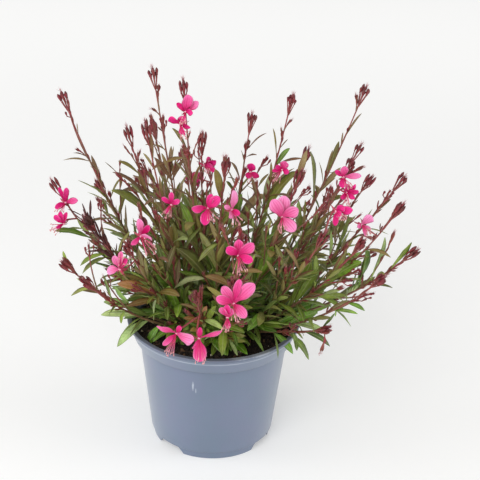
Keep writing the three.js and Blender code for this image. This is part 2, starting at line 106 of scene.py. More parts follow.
def addNode(tree, kind, inputs=None, **settings):
    node = tree.nodes.new(kind)
    node.location = (190 * (len(tree.nodes) % 12), -230 * (len(tree.nodes) // 12))
    for name, value in settings.items():
        setattr(node, name, value)
    for key, value in (inputs or {}).items():
        plug(node.inputs[key], value)
    return Made(tree, node)


def mix(factor, a, b, kind="RGBA"):
    tree = next(value.tree for value in (factor, a, b) if isinstance(value, Wire))
    slots, output = {"FLOAT": ((0, 2, 3), 0), "VECTOR": ((0, 4, 5), 1), "RGBA": ((0, 6, 7), 2)}[kind]
    return addNode(tree, "ShaderNodeMix", dict(zip(slots, (factor, a, b))), data_type=kind)[output]


def mapped(value, low, high, first=0.0, last=1.0, **settings):
    inputs = {"Value": value, "From Min": low, "From Max": high, "To Min": first, "To Max": last}
    return addNode(value.tree, "ShaderNodeMapRange", inputs, **settings)[0]


def noise(vector, scale, detail, roughness=0.5):
    inputs = {"Vector": vector, "Scale": scale, "Detail": detail, "Roughness": roughness}
    return addNode(vector.tree, "ShaderNodeTexNoise", inputs)["Fac"]


def bumped(height, distance, strength=0.6):
    inputs = {"Height": height, "Distance": distance, "Strength": strength}
    return addNode(height.tree, "ShaderNodeBump", inputs)["Normal"]


def ramp(factor, stops):
    made = addNode(factor.tree, "ShaderNodeValToRGB", {"Fac": factor})
    elements = made.node.color_ramp.elements
    for i, (place, code) in enumerate(stops):
        stop = elements[i] if i < 2 else elements.new(place)
        stop.position, stop.color = place, hexColor(code)
    return made["Color"]


def attribute(tree, name):
    return addNode(tree, "ShaderNodeAttribute", attribute_name=name)["Vector"]


def objectPlace(tree):
    return addNode(tree, "ShaderNodeTexCoord")["Object"]


def newGroup(name, kind, inputs, outputs):
    tree = bpy.data.node_groups.new(name, kind)
    for label, socket, value in inputs:
        made = tree.interface.new_socket(label, in_out="INPUT", socket_type="NodeSocket" + socket)
        if value is not None:
            made.default_value = value
    for label, socket in outputs:
        tree.interface.new_socket(label, in_out="OUTPUT", socket_type="NodeSocket" + socket)
    return tree, addNode(tree, "NodeGroupInput"), addNode(tree, "NodeGroupOutput").node.inputs


def newObject(name, data, shown=True):
    thing = bpy.data.objects.new(name, data)
    if shown:
        bpy.context.scene.collection.objects.link(thing)
    return thing


def settle(things, spareAttributes=()):
    # turns what the modifiers make into plain meshes and takes the modifiers away
    depsgraph = bpy.context.evaluated_depsgraph_get()
    meshes = [bpy.data.meshes.new_from_object(
        thing.evaluated_get(depsgraph), preserve_all_data_layers=True, depsgraph=depsgraph)
        for thing in things]
    for thing, mesh in zip(things, meshes):
        thing.modifiers.clear()
        thing.data = mesh
        mesh.name = thing.name
        for name in spareAttributes:
            if name in mesh.attributes:
                mesh.attributes.remove(mesh.attributes[name])


def ringFaces(rings, sides):
    # faces between neighbouring rings of points; a ring of one point closes an end
    faces = []
    for here, ahead in rings:
        for j in range(sides if len(here) + len(ahead) > 2 else 0):
            k = (j + 1) % sides
            corners = here[j % len(here)], here[k % len(here)], ahead[k % len(ahead)], ahead[j % len(ahead)]
            faces.append(list(dict.fromkeys(corners)))
    return faces


def addMark(mesh, name, values, kind="FLOAT_VECTOR"):
    field = "vector" if kind == "FLOAT_VECTOR" else "value"
    mesh.attributes.new(name, kind, "POINT").data.foreach_set(field, np.array(values, np.float32).ravel())


# effects that several materials share

def makeMottleGroup():
    tree, given, result = newGroup("mottle", "ShaderNodeTree", [
        ("Color", "Color", (0.5, 0.5, 0.5, 1)), ("Other color", "Color", (0.3, 0.3, 0.3, 1)),
        ("Size", "Float", 0.01), ("Amount", "Float", 0.5)], [("Color", "Color")])
    spread = mapped(noise(objectPlace(tree), 1.0 / given["Size"], 3.0), 0.35, 0.65)
    plug(result["Color"], mix(spread * given["Amount"], given["Color"], given["Other color"]))
    return tree


def makeBladeGroup():
    # where a point lies on a leaf or petal: its rib, its side veins, its rim and how far along it is
    tree, given, result = newGroup("bladeLines", "ShaderNodeTree", [
        ("Rib width", "Float", 0.1), ("Vein count", "Float", 10.0), ("Vein slant", "Float", 0.4),
    ], [(name, "Float") for name in ("Rib", "Veins", "Rim", "Along", "Underside")])
    across, depth, along = attribute(tree, "blank").parts()
    aside = across.math("ABSOLUTE")
    waves = ((along - aside * given["Vein slant"]) * (given["Vein count"] * (2 * pi))).math("SINE")
    plug(result["Rib"], mapped(aside, 0.0, given["Rib width"], 1.0, 0.0))
    plug(result["Veins"], mapped(waves, 0.55, 1.0))
    plug(result["Rim"], mapped(aside, 0.72, 1.0))
    plug(result["Along"], along)
    plug(result["Underside"], mapped(depth, 0.05, -0.2))
    return tree


def makeGrainGroup():
    tree, given, result = newGroup("grain", "ShaderNodeTree", [
        ("Size", "Float", 0.001), ("Height", "Float", 0.0001), ("Stretch", "Float", 1.0),
    ], [("Normal", "Vector")])
    stretch = addNode(tree, "ShaderNodeCombineXYZ", {0: 1.0, 1: 1.0, 2: given["Stretch"]})[0]
    rough = noise(objectPlace(tree) * stretch, 1.0 / given["Size"], 2.0)
    plug(result["Normal"], bumped(rough, given["Height"], 1.0))
    return tree


mottleGroup, bladeGroup, grainGroup = makeMottleGroup(), makeBladeGroup(), makeGrainGroup()


def mottled(tree, color, other, size, amount):
    inputs = {"Color": color, "Other color": other, "Size": size, "Amount": amount}
    return addNode(tree, "ShaderNodeGroup", inputs, node_tree=mottleGroup)["Color"]


def bladeLines(tree, ribWidth, veinCount=0.0, veinSlant=0.0):
    inputs = {"Rib width": ribWidth, "Vein count": veinCount, "Vein slant": veinSlant}
    return addNode(tree, "ShaderNodeGroup", inputs, node_tree=bladeGroup)


def grained(tree, size, height, stretch=1.0):
    inputs = {"Size": size, "Height": height, "Stretch": stretch}
    return addNode(tree, "ShaderNodeGroup", inputs, node_tree=grainGroup)["Normal"]


def newMaterial(name, roughness, **sockets):
    material = bpy.data.materials.new(name)
    material.use_nodes = True
    shader = material.node_tree.nodes["Principled BSDF"].inputs
    shader["Roughness"].default_value = roughness
    for label, value in sockets.items():
        shader[label.replace("_", " ")].default_value = value
    return material, material.node_tree, shader


def makePlainMaterial(name, roughness, tones, mottle, grain=None):
    # one tone, or tones from base to tip, with blotches of another tone and a fine grain
    material, tree, shader = newMaterial(name, roughness)
    color = tones if isinstance(tones, str) else ramp(attribute(tree, "blank").parts()[2], tones)
    plug(shader["Base Color"], mottled(tree, color, *mottle))
    if grain:
        plug(shader["Normal"], grained(tree, *grain))
    return material


leafLooks = {
    "greens": [(0.0, "2C3E08"), (0.25, "4A6414"), (0.55, "7A922C"), (0.8, "A4BC4A"), (1.0, "C6D29A")],
    "fresh": "80C028", "bronze": "8E4A38", "rib": "BEC688", "underside": "9AA660", "rim": "744C32",
    "dark": "222C0A", "young": "B8603C",
    "lines": [("Veins", 0.14, "dark"), ("Rim", 0.3, "rim"), ("Rib", 0.5, "rib"),
              ("Underside", 0.55, "underside")],
}


def makeLeafMaterial():
    # tones: shade of green, bronze, and fresh above 0 or young and red below it
    looks = leafLooks
    material, tree, shader = newMaterial("gauraLeaf", 0.42, Specular_IOR_Level=0.6)
    shade, bronze, fresh = attribute(tree, "tones").parts()
    lines = bladeLines(tree, 0.15, 9.0, 0.12)
    color = mix(fresh * 0.85, ramp(shade, looks["greens"]), looks["fresh"])
    color = mottled(tree, color, looks["dark"], 0.008, 0.5)
    for line, amount, tone in looks["lines"]:
        color = mix(lines[line] * amount, color, looks[tone])
    color = mix(bronze, color, looks["bronze"])
    plug(shader["Base Color"], mix(fresh * -1.0, color, looks["young"]))
    plug(shader["Normal"], bumped((lines["Rib"] + lines["Veins"]) * -1.0, 0.00015))
    return material


def makeStalkMaterial():
    # tones: shade, tone at the base, tone at the tip
    material, tree, shader = newMaterial("gauraStalk", 0.55)
    shade, low, high = attribute(tree, "tones").parts()
    color = ramp(mix(attribute(tree, "blank").parts()[2], low, high, "FLOAT"), [
        (0.0, "66703A"), (0.4, "806848"), (0.75, "98584E"), (1.0, "A63E4A")])
    plug(shader["Base Color"], mottled(tree, color, "57342A", 0.004, 0.4))
    plug(shader["Normal"], grained(tree, 0.0006, 0.0001, 0.2))
    return material


def makeBudMaterial():
    # tones: shade, young and red above 0 or dry below it, green
    material, tree, shader = newMaterial("gauraBud", 0.5)
    shade, young, green = attribute(tree, "tones").parts()
    color = ramp(attribute(tree, "blank").parts()[2], [
        (0.0, "946248"), (0.25, "A23E4A"), (0.6, "841E2E"), (0.85, "480E1A"), (1.0, "60242E")])
    color = mix(0.4, color, ramp(shade, [(0.0, "480C18"), (0.45, "7A1C2C"), (1.0, "B84654")]))
    for factor, tone in ((young * 0.75, "C4404E"), (green, "7E8248"), (young * -1.0, "452219")):
        color = mix(factor, color, tone)
    plug(shader["Base Color"], mottled(tree, color, "4A141E", 0.003, 0.35))
    plug(shader["Normal"], grained(tree, 0.0005, 0.0001))
    return material


petalLooks = {
    "pale": "FFA8DA", "mid": "FF369E", "deep": "E00E74", "vein": "CC0E70", "rim": "FFC4E4", "claw": "D2086A",
    "fold": "C00C66", "fans": 16.0, "paleClaw": -0.45,
}


def makePetalMaterial():
    # tones: paleness, depth of colour
    looks = petalLooks
    material, tree, shader = newMaterial("gauraPetal", 0.5, Specular_IOR_Level=0.3)
    pale, deep = attribute(tree, "tones").parts()[:2]
    lines = bladeLines(tree, 0.12)
    fans = (attribute(tree, "blank").parts()[0] * looks["fans"]).math("SINE")
    color = mix(pale, mottled(tree, looks["mid"], looks["deep"], 0.0035, 0.6), looks["pale"])
    claw = mapped(lines["Along"], 0.25, 0.9, 1.0, 0.0) * (pale * looks["paleClaw"] + 1.0)
    for factor, tone in (
            (deep, "deep"), (mapped(fans, 0.2, 1.0) * 0.4, "vein"), (lines["Rib"] * 0.35, "fold"),
            (lines["Rim"] * 0.6, "rim"), (claw, "claw"), (lines["Underside"] * 0.25, "deep")):
        color = mix(factor, color, looks[tone])
    plug(shader["Base Color"], color)
    plug(shader["Normal"], bumped(fans, 0.00012))
    return material


def makeSepalMaterial():
    material, tree, shader = newMaterial("gauraSepal", 0.5)
    lines = bladeLines(tree, 0.3)
    color = ramp(lines["Along"], [(0.0, "B42048"), (0.6, "AA304C"), (1.0, "7C2E38")])
    plug(shader["Base Color"], mix(lines["Rib"] * 0.4, color, "D86A80"))
    return material


finishes = {
    "leaf": makeLeafMaterial(), "bud": makeBudMaterial(), "stalk": makeStalkMaterial(),
    "hair": makePlainMaterial("gauraHair", 0.6, [(0.0, "94343E"), (0.5, "BC646C"), (1.0, "E0A6A8")],
                              ("96505A", 0.002, 0.4)),
    "petal": makePetalMaterial(),
    "filament": makePlainMaterial("gauraFilament", 0.5, [(0.0, "CC1656"), (0.5, "E84A84"), (1.0, "F8B8CC")],
                                  ("C01858", 0.002, 0.3)),
    "anther": makePlainMaterial("gauraAnther", 0.7, "EAB4B0", ("B4546A", 0.0012, 0.7)),
    "sepal": makeSepalMaterial(),
}
print("materials ready")


# blanks: one plain shape of each kind, bent into place many times by the growth tree. Each has a section
# and stations along it: how far along, width and depth

def ovalSection(sides):
    return [(cos(2 * pi * i / sides), sin(2 * pi * i / sides)) for i in range(sides)]


bladeSection = [(1, 0), (0.55, 0.7), (0, 0.3), (-0.55, 0.7), (-1, 0), (-0.55, -0.9), (0, -1.5), (0.55, -0.9)]
petalSection = [
    (1, 0), (0.72, 0.8), (0.36, 0.9), (0, 0.7), (-0.36, 0.9), (-0.72, 0.8),
    (-1, 0), (-0.72, -0.8), (-0.36, -1.0), (0, -1.2), (0.36, -1.0), (0.72, -0.8),
]
stalkRings, stalkKnot = 23, 1.14

blankShapes = {
    "leaf": (bladeSection, [
        (0, 0, 0), (0.06, 0.18, 1), (0.16, 0.4, 1), (0.3, 0.74, 1), (0.46, 0.97, 1), (0.6, 1, 1),
        (0.74, 0.87, 0.9), (0.86, 0.6, 0.8), (0.95, 0.27, 0.6), (1, 0, 0)]),
    "bud": (ovalSection(6), [
        (0, 0, 0), (0.02, 0.42, 0.42), (0.25, 0.5, 0.5), (0.48, 0.85, 0.85),
        (0.66, 1, 1), (0.82, 0.8, 0.8), (0.94, 0.42, 0.42), (1, 0, 0)]),
    "hair": (ovalSection(3), [(0, 0, 0), (0.02, 1, 1), (0.6, 0.75, 0.75), (1, 0, 0)]),
    "stalk": (ovalSection(6), [(0, 0, 0)] + [
        (0.001 + 0.998 * i / (stalkRings - 1),) + (1 if i % 3 else stalkKnot,) * 2 for i in range(stalkRings)
    ] + [(1, 0, 0)]),
    "petal": (petalSection, [
        (0, 0, 0), (0.04, 0.2, 1), (0.13, 0.26, 1), (0.22, 0.46, 1), (0.32, 0.72, 1), (0.44, 0.92, 1),
        (0.57, 1, 1), (0.7, 0.99, 1), (0.81, 0.86, 0.9), (0.9, 0.62, 0.8), (0.965, 0.32, 0.6), (1, 0, 0)]),
    "filament": (ovalSection(5), [
        (0, 0, 0), (0.01, 1, 1), (0.25, 0.9, 0.9), (0.5, 0.85, 0.85), (0.75, 0.8, 0.8), (0.99, 0.8, 0.8),
        (1, 0, 0)]),
    "anther": (ovalSection(6), [
        (0, 0, 0), (0.12, 0.75, 0.75), (0.35, 1, 1), (0.65, 1, 1), (0.88, 0.75, 0.75), (1, 0, 0)]),
    "sepal": (bladeSection, [
        (0, 0, 0), (0.08, 0.7, 1), (0.3, 1, 1), (0.55, 0.85, 1), (0.8, 0.5, 0.9), (1, 0, 0)]),
}


def makeBlank(name):
    # the mark called blank keeps the section's full width at every station, so that ribs and rims follow it
    section, stations = blankShapes[name]
    points, full, rings = [], [], []
    for along, width, depth in stations:
        ring = section if width else [(0, 0)]
        rings.append(range(len(points), len(points) + len(ring)))
        points += [(x * width, y * depth, along) for x, y in ring]
        full += [(x, y, along) for x, y in ring]
    mesh = bpy.data.meshes.new(name + "Blank")
    mesh.from_pydata(points, [], ringFaces(zip(rings, rings[1:]), len(section)))
    addMark(mesh, "blank", full)
    addMark(mesh, "outline", points)
    return newObject(name + "Blank", mesh, shown=False)


pointFields = ("bend", "finish", "side", "sizes", "shape", "tones")
spareFields = ("start", "bend", "finish", "side", "sizes", "shape", "form", "outline")


def makeGrowthTree(name, forms, rippleCount):
    # every point becomes one blank of its form, bent along the curve start, bend, finish
    tree, given, result = newGroup(
        name, "GeometryNodeTree", [("Geometry", "Geometry", None)], [("Geometry", "Geometry")])

    def named(label, kind="FLOAT_VECTOR"):
        return addNode(tree, "GeometryNodeInputNamedAttribute", {"Name": label}, data_type=kind)[0]

    marked = addNode(tree, "GeometryNodeStoreNamedAttribute", {
        "Geometry": given[0], "Name": "start", "Value": addNode(tree, "GeometryNodeInputPosition")[0]},
        data_type="FLOAT_VECTOR")[0]
    joined = addNode(tree, "GeometryNodeJoinGeometry")
    isForm = []
    for number, form in enumerate(forms):
        isForm.append(named("form", "FLOAT").math("COMPARE", float(number), 0.1))
        blank = addNode(tree, "GeometryNodeObjectInfo", {"Object": makeBlank(form)})["Geometry"]
        plug(joined.node.inputs[0], addNode(tree, "GeometryNodeInstanceOnPoints", {
            "Points": marked, "Selection": isForm[-1], "Instance": blank})[0])
    realized = addNode(tree, "GeometryNodeRealizeInstances", {"Geometry": joined[0]})[0]

    x, y, t = named("outline").parts()
    widthAtStart, widthAtEnd, flatness = named("sizes").parts()
    fold, ripple, twist = named("shape").parts()
    first = mix(t, named("start"), named("bend"), "VECTOR")
    second = mix(t, named("bend"), named("finish"), "VECTOR")
    along = (second - first).math("NORMALIZE")
    above = along.math("CROSS_PRODUCT", named("side")).math("NORMALIZE")
    across = above.math("CROSS_PRODUCT", along)
    turnCos, turnSin = (twist * t).math("COSINE"), (twist * t).math("SINE")
    width = mix(t, widthAtStart, widthAtEnd, "FLOAT")
    waves = (named("tones").parts()[0] * 40.0 + t * (rippleCount * 2 * pi)).math("SINE")
    raised = y * (width * flatness) + (x * x * fold * width + x * waves * (ripple * width))
    bent = mix(t, first, second, "VECTOR") + (across * turnCos + above * turnSin) * (x * width)
    bent = bent + (above * turnCos - across * turnSin) * raised
    last = addNode(tree, "GeometryNodeSetPosition", {"Geometry": realized, "Position": bent})[0]
    last = addNode(tree, "GeometryNodeSetShadeSmooth", {"Geometry": last})[0]
    for chosen, form in zip(isForm, forms):
        last = addNode(tree, "GeometryNodeSetMaterial", {
            "Geometry": last, "Selection": chosen, "Material": finishes[form]})[0]
    plug(result[0], last)
    return tree


class Growth:
    # the curves of one piece, in millimetres from the middle of the pot's foot
    def __init__(self, forms):
        self.forms, self.rows = forms, []

    def add(self, form, start, bend, finish, side, sizes, shape=(0, 0, 0), tones=(0.5, 0, 0)):
        self.rows.append((start, bend, finish, side, sizes, shape, tones, self.forms.index(form)))

    def addRound(self, form, start, bend, finish, radius, endRadius=None, tones=(0.5, 0, 0)):
        side = crossways(unit(finish - start))[0]
        self.add(form, start, bend, finish, side, (radius, endRadius or radius, 1), tones=tones)

    def asObject(self, name, tree):
        starts, *columns, kinds = zip(*self.rows)
        mesh = bpy.data.meshes.new(name)
        mesh.from_pydata((np.array(starts) * mm + potAxis).tolist(), [], [])
        for label, rows in zip(pointFields, columns):
            values = np.array(rows, float)
            if label in ("bend", "finish"):
                values = values * mm + potAxis
            if label == "sizes":
                values = values * np.array([mm, mm, 1])
            addMark(mesh, label, values)
        addMark(mesh, "form", kinds, "FLOAT")
        thing = newObject(name, mesh)
        thing.modifiers.new(tree.name, "NODES").node_group = tree
        return thing


# the studio: its sizes are in millimetres from the middle of the pot's foot

studio = {
    "distance": 1000, "elevation": 26.6, "roll": 1.7, "target": (17.9, 0, 162.6),
    "focalPixels": 1369, "picture": 480, "sensor": 36,
    "floorReach": 12, "floorTone": (0.78, 0.78, 0.772, 1), "glowTone": (1, 1, 0.99, 1),
    "glowReach": (0.3, 1.1), "floorGlow": (0.25, 0.38), "roomStrength": 0.56, "aim": 0.13,
    # each light: place from the aim, size, power
    "lights": {"sideLeft": ((-1.6, -0.2, 0.45), 1.1, 8), "sideRight": ((1.6, -0.2, 0.45), 1.1, 8),
               "front": ((-0.5, -1.3, 1.0), 1.2, 13)},
}


def cameraAxes():
    e, roll = radians(studio["elevation"]), radians(studio["roll"])
    right, upward, back = np.array([[1.0, 0, 0], [0, sin(e), cos(e)], [0, -cos(e), sin(e)]])
    return right * cos(roll) + upward * sin(roll), upward * cos(roll) - right * sin(roll), back


def fromPhoto(x, y, depth):
    # the point seen at a pixel of the photograph, at a given depth behind the pot's axis
    right, upward, back = cameraAxes()
    middle, focal = studio["picture"] / 2, studio["focalPixels"]
    eye = np.array(studio["target"]) + back * studio["distance"]
    ray = right * ((x - middle) / focal) - upward * ((y - middle) / focal) - back
    return eye + ray * ((depth - eye[1]) / ray[1])


# the growth rules, the same as in the part's source, so that each finer piece lies where its solid does

pot = {
    "rimRadius": 65, "height": 98.5, "lipHeight": 2.8, "lipOverhang": 1.4, "bandBottomRadius": 59.6,
    "bandBottomZ": 84.6, "bodyTopRadius": 55.9, "bodyBottomRadius": 46.7, "footRadius": 44.9,
    "footHeight": 6.2, "wall": 1.5, "floor": 1.6, "sides": 160, "rounding": 0.6,
    "notchAngles": (-42.5, 59.5, 137.5, 239.5), "notchWidth": 18, "notchSlant": 4.5, "notchHeight": 5.6,
    "drainHoles": 6, "drainRadius": 4, "drainRing": 30,
}

soil = {"top": 91.5, "relief": 1.2, "rings": 34, "sides": 96}

plant = {
    "seed": 20, "seedStep": 7919, "clearance": 0.8, "crownShare": 0.24, "collarHeight": 2.5,
    "stemRadius": 1.25, "stemSteps": 5, "swayReach": 4, "headBall": 3.4, "headSpread": 0.2, "stemBall": 0.8,
    "shootStart": (0.42, 0.72), "shootLength": (0.2, 0.34), "shootLean": 0.62, "shootRise": 0.3,
    "shootHead": 0.6, "shootSpread": 0.45, "shootBall": 1.3, "tries": 10, "goldenAngle": 2.39996,
    "budLength": 15, "budRadius": 1.15, "budSpread": (0.85, 1.25), "budReach": (0.8, 1.05),
    "leafFrom": 0.04, "leafSpan": 0.72, "leafCrowding": 1.3, "leafScatter": 0.05, "leafTurn": 2.2,
    "longestLeaf": 44, "leafShortening": 24, "leafLength": (0.85, 1.15), "leafSlim": (0.095, 0.115),
    "leafLean": (0.75, 1.0), "leafDroop": (0.35, 0.75), "leafFresh": 0.7, "retryTurn": 0.4, "retryFit": 0.06,
    "tubeLength": 7, "tubeRadius": 0.8, "tubeBall": 1.2, "throatBall": 3, "petalBall": 5.5,
    "petalReach": 9, "petalLean": 0.3, "petalAngles": (-84, -30, 30, 84), "hangReach": 8, "hangLean": 0.7,
    "stamenLength": 12,
}

# each main stem by its tip: across, depth, height, outward sweep, leaf count
mainStems = {
    "leftTall": (-116, 45, 257, 0.16, 7), "leftBloom": (-120, 10, 202, 0.2, 7),
    "leftLow": (-107, -40, 162, 0.24, 7), "leftSprawl": (-90, -57, 157, 0.26, 6),
    "leftDry": (-91, -32, 194, 0.14, 6), "leftInner": (-67, 30, 237, 0.12, 7),
    "tallest": (-47, 15, 288, 0.1, 7), "frontLeftTall": (-49, -25, 261, 0.12, 7),
    "backLeftInner": (-51, 62, 231, 0.12, 6), "centreBloom": (-24, -10, 289, 0.08, 7),
    "backCentreLeft": (-28, 72, 203, 0.14, 6), "centreBack": (-12, 30, 234, 0.1, 6),
    "centreRight": (24, 35, 248, 0.1, 6), "rightUpright": (52, 8, 274, 0.1, 7),
    "backRightInner": (68, 60, 212, 0.16, 6), "frontRightTall": (58, -45, 239, 0.12, 7),
    "rightTall": (104, 20, 277, 0.14, 7), "rightBack": (106, 52, 219, 0.16, 6),
    "rightMiddle": (96, -8, 232, 0.16, 7), "backRightFar": (118, 74, 184, 0.2, 6),
    "rightReach": (136, 15, 211, 0.16, 7), "rightUpturned": (131, -28, 209, 0.24, 7),
    "frontRightShort": (104, -52, 192, 0.2, 6), "rightFar": (145, -18, 168, 0.24, 6),
    "frontRightLow": (118, -62, 169, 0.26, 6), "frontCentre": (7, -40, 245, 0.1, 6),
    "frontRightHead": (75, -72, 206, 0.16, 6), "frontRed": (-12, -84, 163, 0.2, 6),
    "overRim": (83, -60, 124, 0.1, 5), "frontLeftBloom": (-50, -57, 206, 0.14, 7),
    "leftFrontBloom": (-60, -64, 190, 0.18, 6), "frontRightBloom": (20, -84, 208, 0.16, 7),
    "frontBloom": (14, -104, 186, 0.24, 6), "backLeft": (-95, 78, 172, 0.2, 6),
    "backLeftOuter": (-62, 104, 172, 0.2, 6), "backMiddle": (-8, 114, 176, 0.2, 7),
    "backRight": (46, 106, 174, 0.2, 6), "backRightOuter": (90, 99, 154, 0.24, 6),
}

# side shoots that the photograph places: where each leaves its stem, as a share of it, and its tip
solidShoots = {
    "tallest": (0.58, (-38, -10, 261)), "centreBloom": (0.58, (-20, -26, 244)),
    "rightUpright": (0.4, (66, -2, 208)), "rightTall": (0.4, (75, 38, 189)),
    "rightBack": (0.5, (97, 54, 176)), "rightMiddle": (0.5, (83, 22, 197)),
}

# each bloom: node, stem, throat, way it faces, turn of its fan, size, and as the photograph shows them the
# pixel that its stamens hang towards and its petals: pixel of the tip, how far it comes forward, half its
# width, and its tone from deep (-1) to pale (1)
blooms = [
    ("bloom_top", "centreBloom", (-22, -17, 268), (10, 10), 20, 0.85, (182, 123), [
     (188, 94.5, 2, 3.8, 0.4), (198.5, 101.5, 1, 2.8, 0.6), (193, 113, 4, 2.4, -0.2),
     (176.5, 103, 2, 1.8, -0.9)]),
    ("bloom_top", "centreBloom", (-26, -18, 259), (-30, -10), -40, 0.85, (186, 138), [
     (169.5, 117, 2, 3.8, -0.3), (185.5, 117, 3, 3.0, 0.1), (185.5, 135, 4, 3.0, -0.1),
     (190.5, 128, 2, 1.8, 0)]),
    ("bloom_left", "leftBloom", (-109, 1, 188), (10, 15), 15, 0.95, (59, 214), [(58.5, 187, 2, 1.5, -0.7),
     (66.5, 187.5, 3, 2.1, 0.1), (78, 200.5, 2, 2.3, 0.3), (55, 208.5, 4, 2.2, -0.1)]),
    ("bloom_left_low", "leftBloom", (-110, -6, 174), (-10, -10), -20, 0.7, (51, 230), [
     (54.5, 215, 2, 2.4, 0), (60, 211.5, 2, 2.0, -0.3), (67, 212, 3, 1.6, -0.9), (56, 228, 4, 1.8, -0.1)]),
    ("bloom_front_left", "frontLeftBloom", (-49, -66, 196), (20, 5), 10, 0.9, (154, 253), [
     (138.5, 218.5, 3, 2.4, 0.75), (150.5, 237, 8, 3.9, 0.9), (149, 225, 2, 2.2, -0.8),
     (131, 245, 4, 2.0, 0.2)]),
    ("bloom_left_front", "leftFrontBloom", (-63, -76, 176), (-20, 40), -10, 0.9, (123, 258), [
     (114, 255.5, 3, 2.3, 0.7), (122, 251.5, 1, 2.4, 0.45), (127.5, 259.5, 3, 2.4, -0.1),
     (107, 272.5, -2, 3.0, 1.0)]),
    ("bloom_middle_left", "frontLeftTall", (-30, -44, 210), (0, 20), 0, 0.75, (166, 217), [
     (171.5, 192, 1, 1.8, 0.1), (161.5, 197.5, 2, 1.7, 0), (180, 200.5, 2, 1.9, 0.1),
     (165, 214, 3, 1.1, -0.6)]),
    ("bloom_middle", "frontCentre", (-5, -46, 209), (-15, 5), 40, 0.9, (214, 221), [
     (191.5, 209, 4, 2.9, 0.1), (204.5, 225.5, 5, 3.3, -0.4), (220, 197, 2, 3.5, 0.05),
     (212, 194, 1, 2.5, -0.3)]),
    ("bloom_pale", "frontCentre", (12, -54, 212), (25, 0), -10, 0.9, (239, 224), [
     (233.5, 190, 2, 2.9, 0.95), (229.5, 218.5, 5, 2.4, 0.95), (240, 215, 3, 2.2, -0.1),
     (224, 206, 0, 1.6, 0.8)]),
    ("bloom_wide", "frontRightTall", (46, -58, 210), (0, 10), 40, 1.05, (281, 232), [
     (272, 199.5, 4, 4.3, 0.8), (284.5, 195.5, 2, 4.3, 0.85), (298.5, 209, 4, 4.1, 0.75),
     (295, 231.5, 6, 4.0, 0.9)]),
    ("bloom_front_right", "frontRightBloom", (17, -90, 196), (0, 10), 25, 1.0, (240, 274), [
     (226.5, 247.5, 4, 3.4, -0.1), (239, 239.5, 1, 3.1, 0.2), (254, 243.5, 3, 3.6, 0.25),
     (253, 261.5, 6, 3.0, -0.25)]),
    ("bloom_front", "frontBloom", (15, -105, 168), (-5, 15), 5, 1.05, (238, 321), [
     (222, 286.5, 2, 3.3, 0.45), (216, 298, 3, 3.2, 0.3), (240, 279, 0, 2.8, 0.2), (255, 284, 3, 4.2, 0.5),
     (246, 318, 7, 3.4, 0.5)]),
    ("bloom_front", "frontBloom", (11, -107, 158), (-15, -20), -30, 0.75, (226, 331), [
     (221.5, 307, 4, 2.8, 0.4), (232, 308.5, 4, 2.6, 0.3), (227, 304.5, 5, 2.6, -0.3),
     (228.5, 329, 3, 1.9, 0.1)]),
    ("bloom_over_rim_left", "frontRed", (-24, -82, 130), (-20, 0), -50, 0.95, (168, 355), [
     (156.5, 326, 3, 2.7, 0.45), (194.5, 340, 8, 4.6, 0.75), (163, 345.5, 5, 2.2, 0.3),
     (181, 326, 0, 2.0, -0.7)]),
    ("bloom_over_rim_right", "frontRed", (-8, -88, 130), (15, -15), 60, 1.0, (203, 363), [
     (222.5, 330.5, 3, 2.3, 0.3), (199.5, 362, 5, 4.5, 0.15), (192, 349, 5, 1.5, 0.3),
     (200, 327, 1, 1.6, -0.6)]),
    ("bloom_right_high", "rightMiddle", (89, -16, 222), (0, 15), -10, 0.9, (351, 187), [
     (335, 170.5, 2, 1.8, -0.5), (344.5, 166, 1, 2.7, 0.4), (361.5, 176, 2, 2.1, 0.8),
     (342, 188, 3, 2.4, 0)]),
    ("bloom_right_high", "rightMiddle", (92, -18, 211), (20, -5), 30, 0.9, (347, 206), [
     (346.5, 184, 2, 2.4, 0.4), (355.5, 184, 2, 2.0, 0), (359, 191.5, 3, 2.4, 0.05),
     (355, 199, 4, 2.0, -0.1), (340.5, 198.5, 4, 2.6, -0.3)]),
    ("bloom_right_deep", "frontRightHead", (82, -62, 217), (10, 0), 0, 0.85, (345, 219), [
     (353, 210, 3, 3.2, -0.2), (344, 206, 2, 2.8, 0), (341, 216, 4, 2.4, -0.4), (335, 226, 3, 2.0, -0.9)]),
    ("bloom_right_pale", "rightUpturned", (102, -42, 198), (20, 10), 30, 0.85, (370, 233), [
     (372, 215.5, 3, 3.6, 0.95), (357, 226.5, 2, 2.0, 0.6), (366, 236, 3, 1.5, 0.5),
     (371, 229, 1, 1.0, 0.9)]),
    ("bloom_upper_right", "rightUpright", (46, -6, 222), (-10, 10), 0, 0.7, (274, 180), [
     (286, 161.5, 2, 3.0, 0.4), (276, 165.5, 2, 2.2, -0.1), (289, 173, 3, 2.2, -0.5),
     (272, 171, 1, 1.4, -0.9)]),
    ("bloom_upper_middle", "centreRight", (24, 20, 208), (-10, 10), 10, 0.7, (252, 183), [
     (252.5, 163.5, 2, 3.2, 0), (247.5, 178.5, 3, 2.4, -0.6), (259, 177.5, 2, 2.2, -0.9)]),
    ("bloom_upper_left", "centreBack", (-9, 14, 215), (50, 0), 0, 0.75, (208, 172), [
     (216, 160.5, 2, 3.0, -0.1), (214.5, 172, 3, 2.2, -0.5), (208, 156.5, 1, 2.6, 0.1),
     (213, 167, 2, 2.6, 0.2)]),
    ("bloom_back", "backMiddle", (-20, 112, 166), (190, 10), 0, 0.9, None, [(186, 180, -3, 2.6, 0),
     (203, 180, -3, 2.6, 0.1), (192, 188, -4, 2.6, -0.2), (198, 187, -4, 2.6, -0.2)]),
]


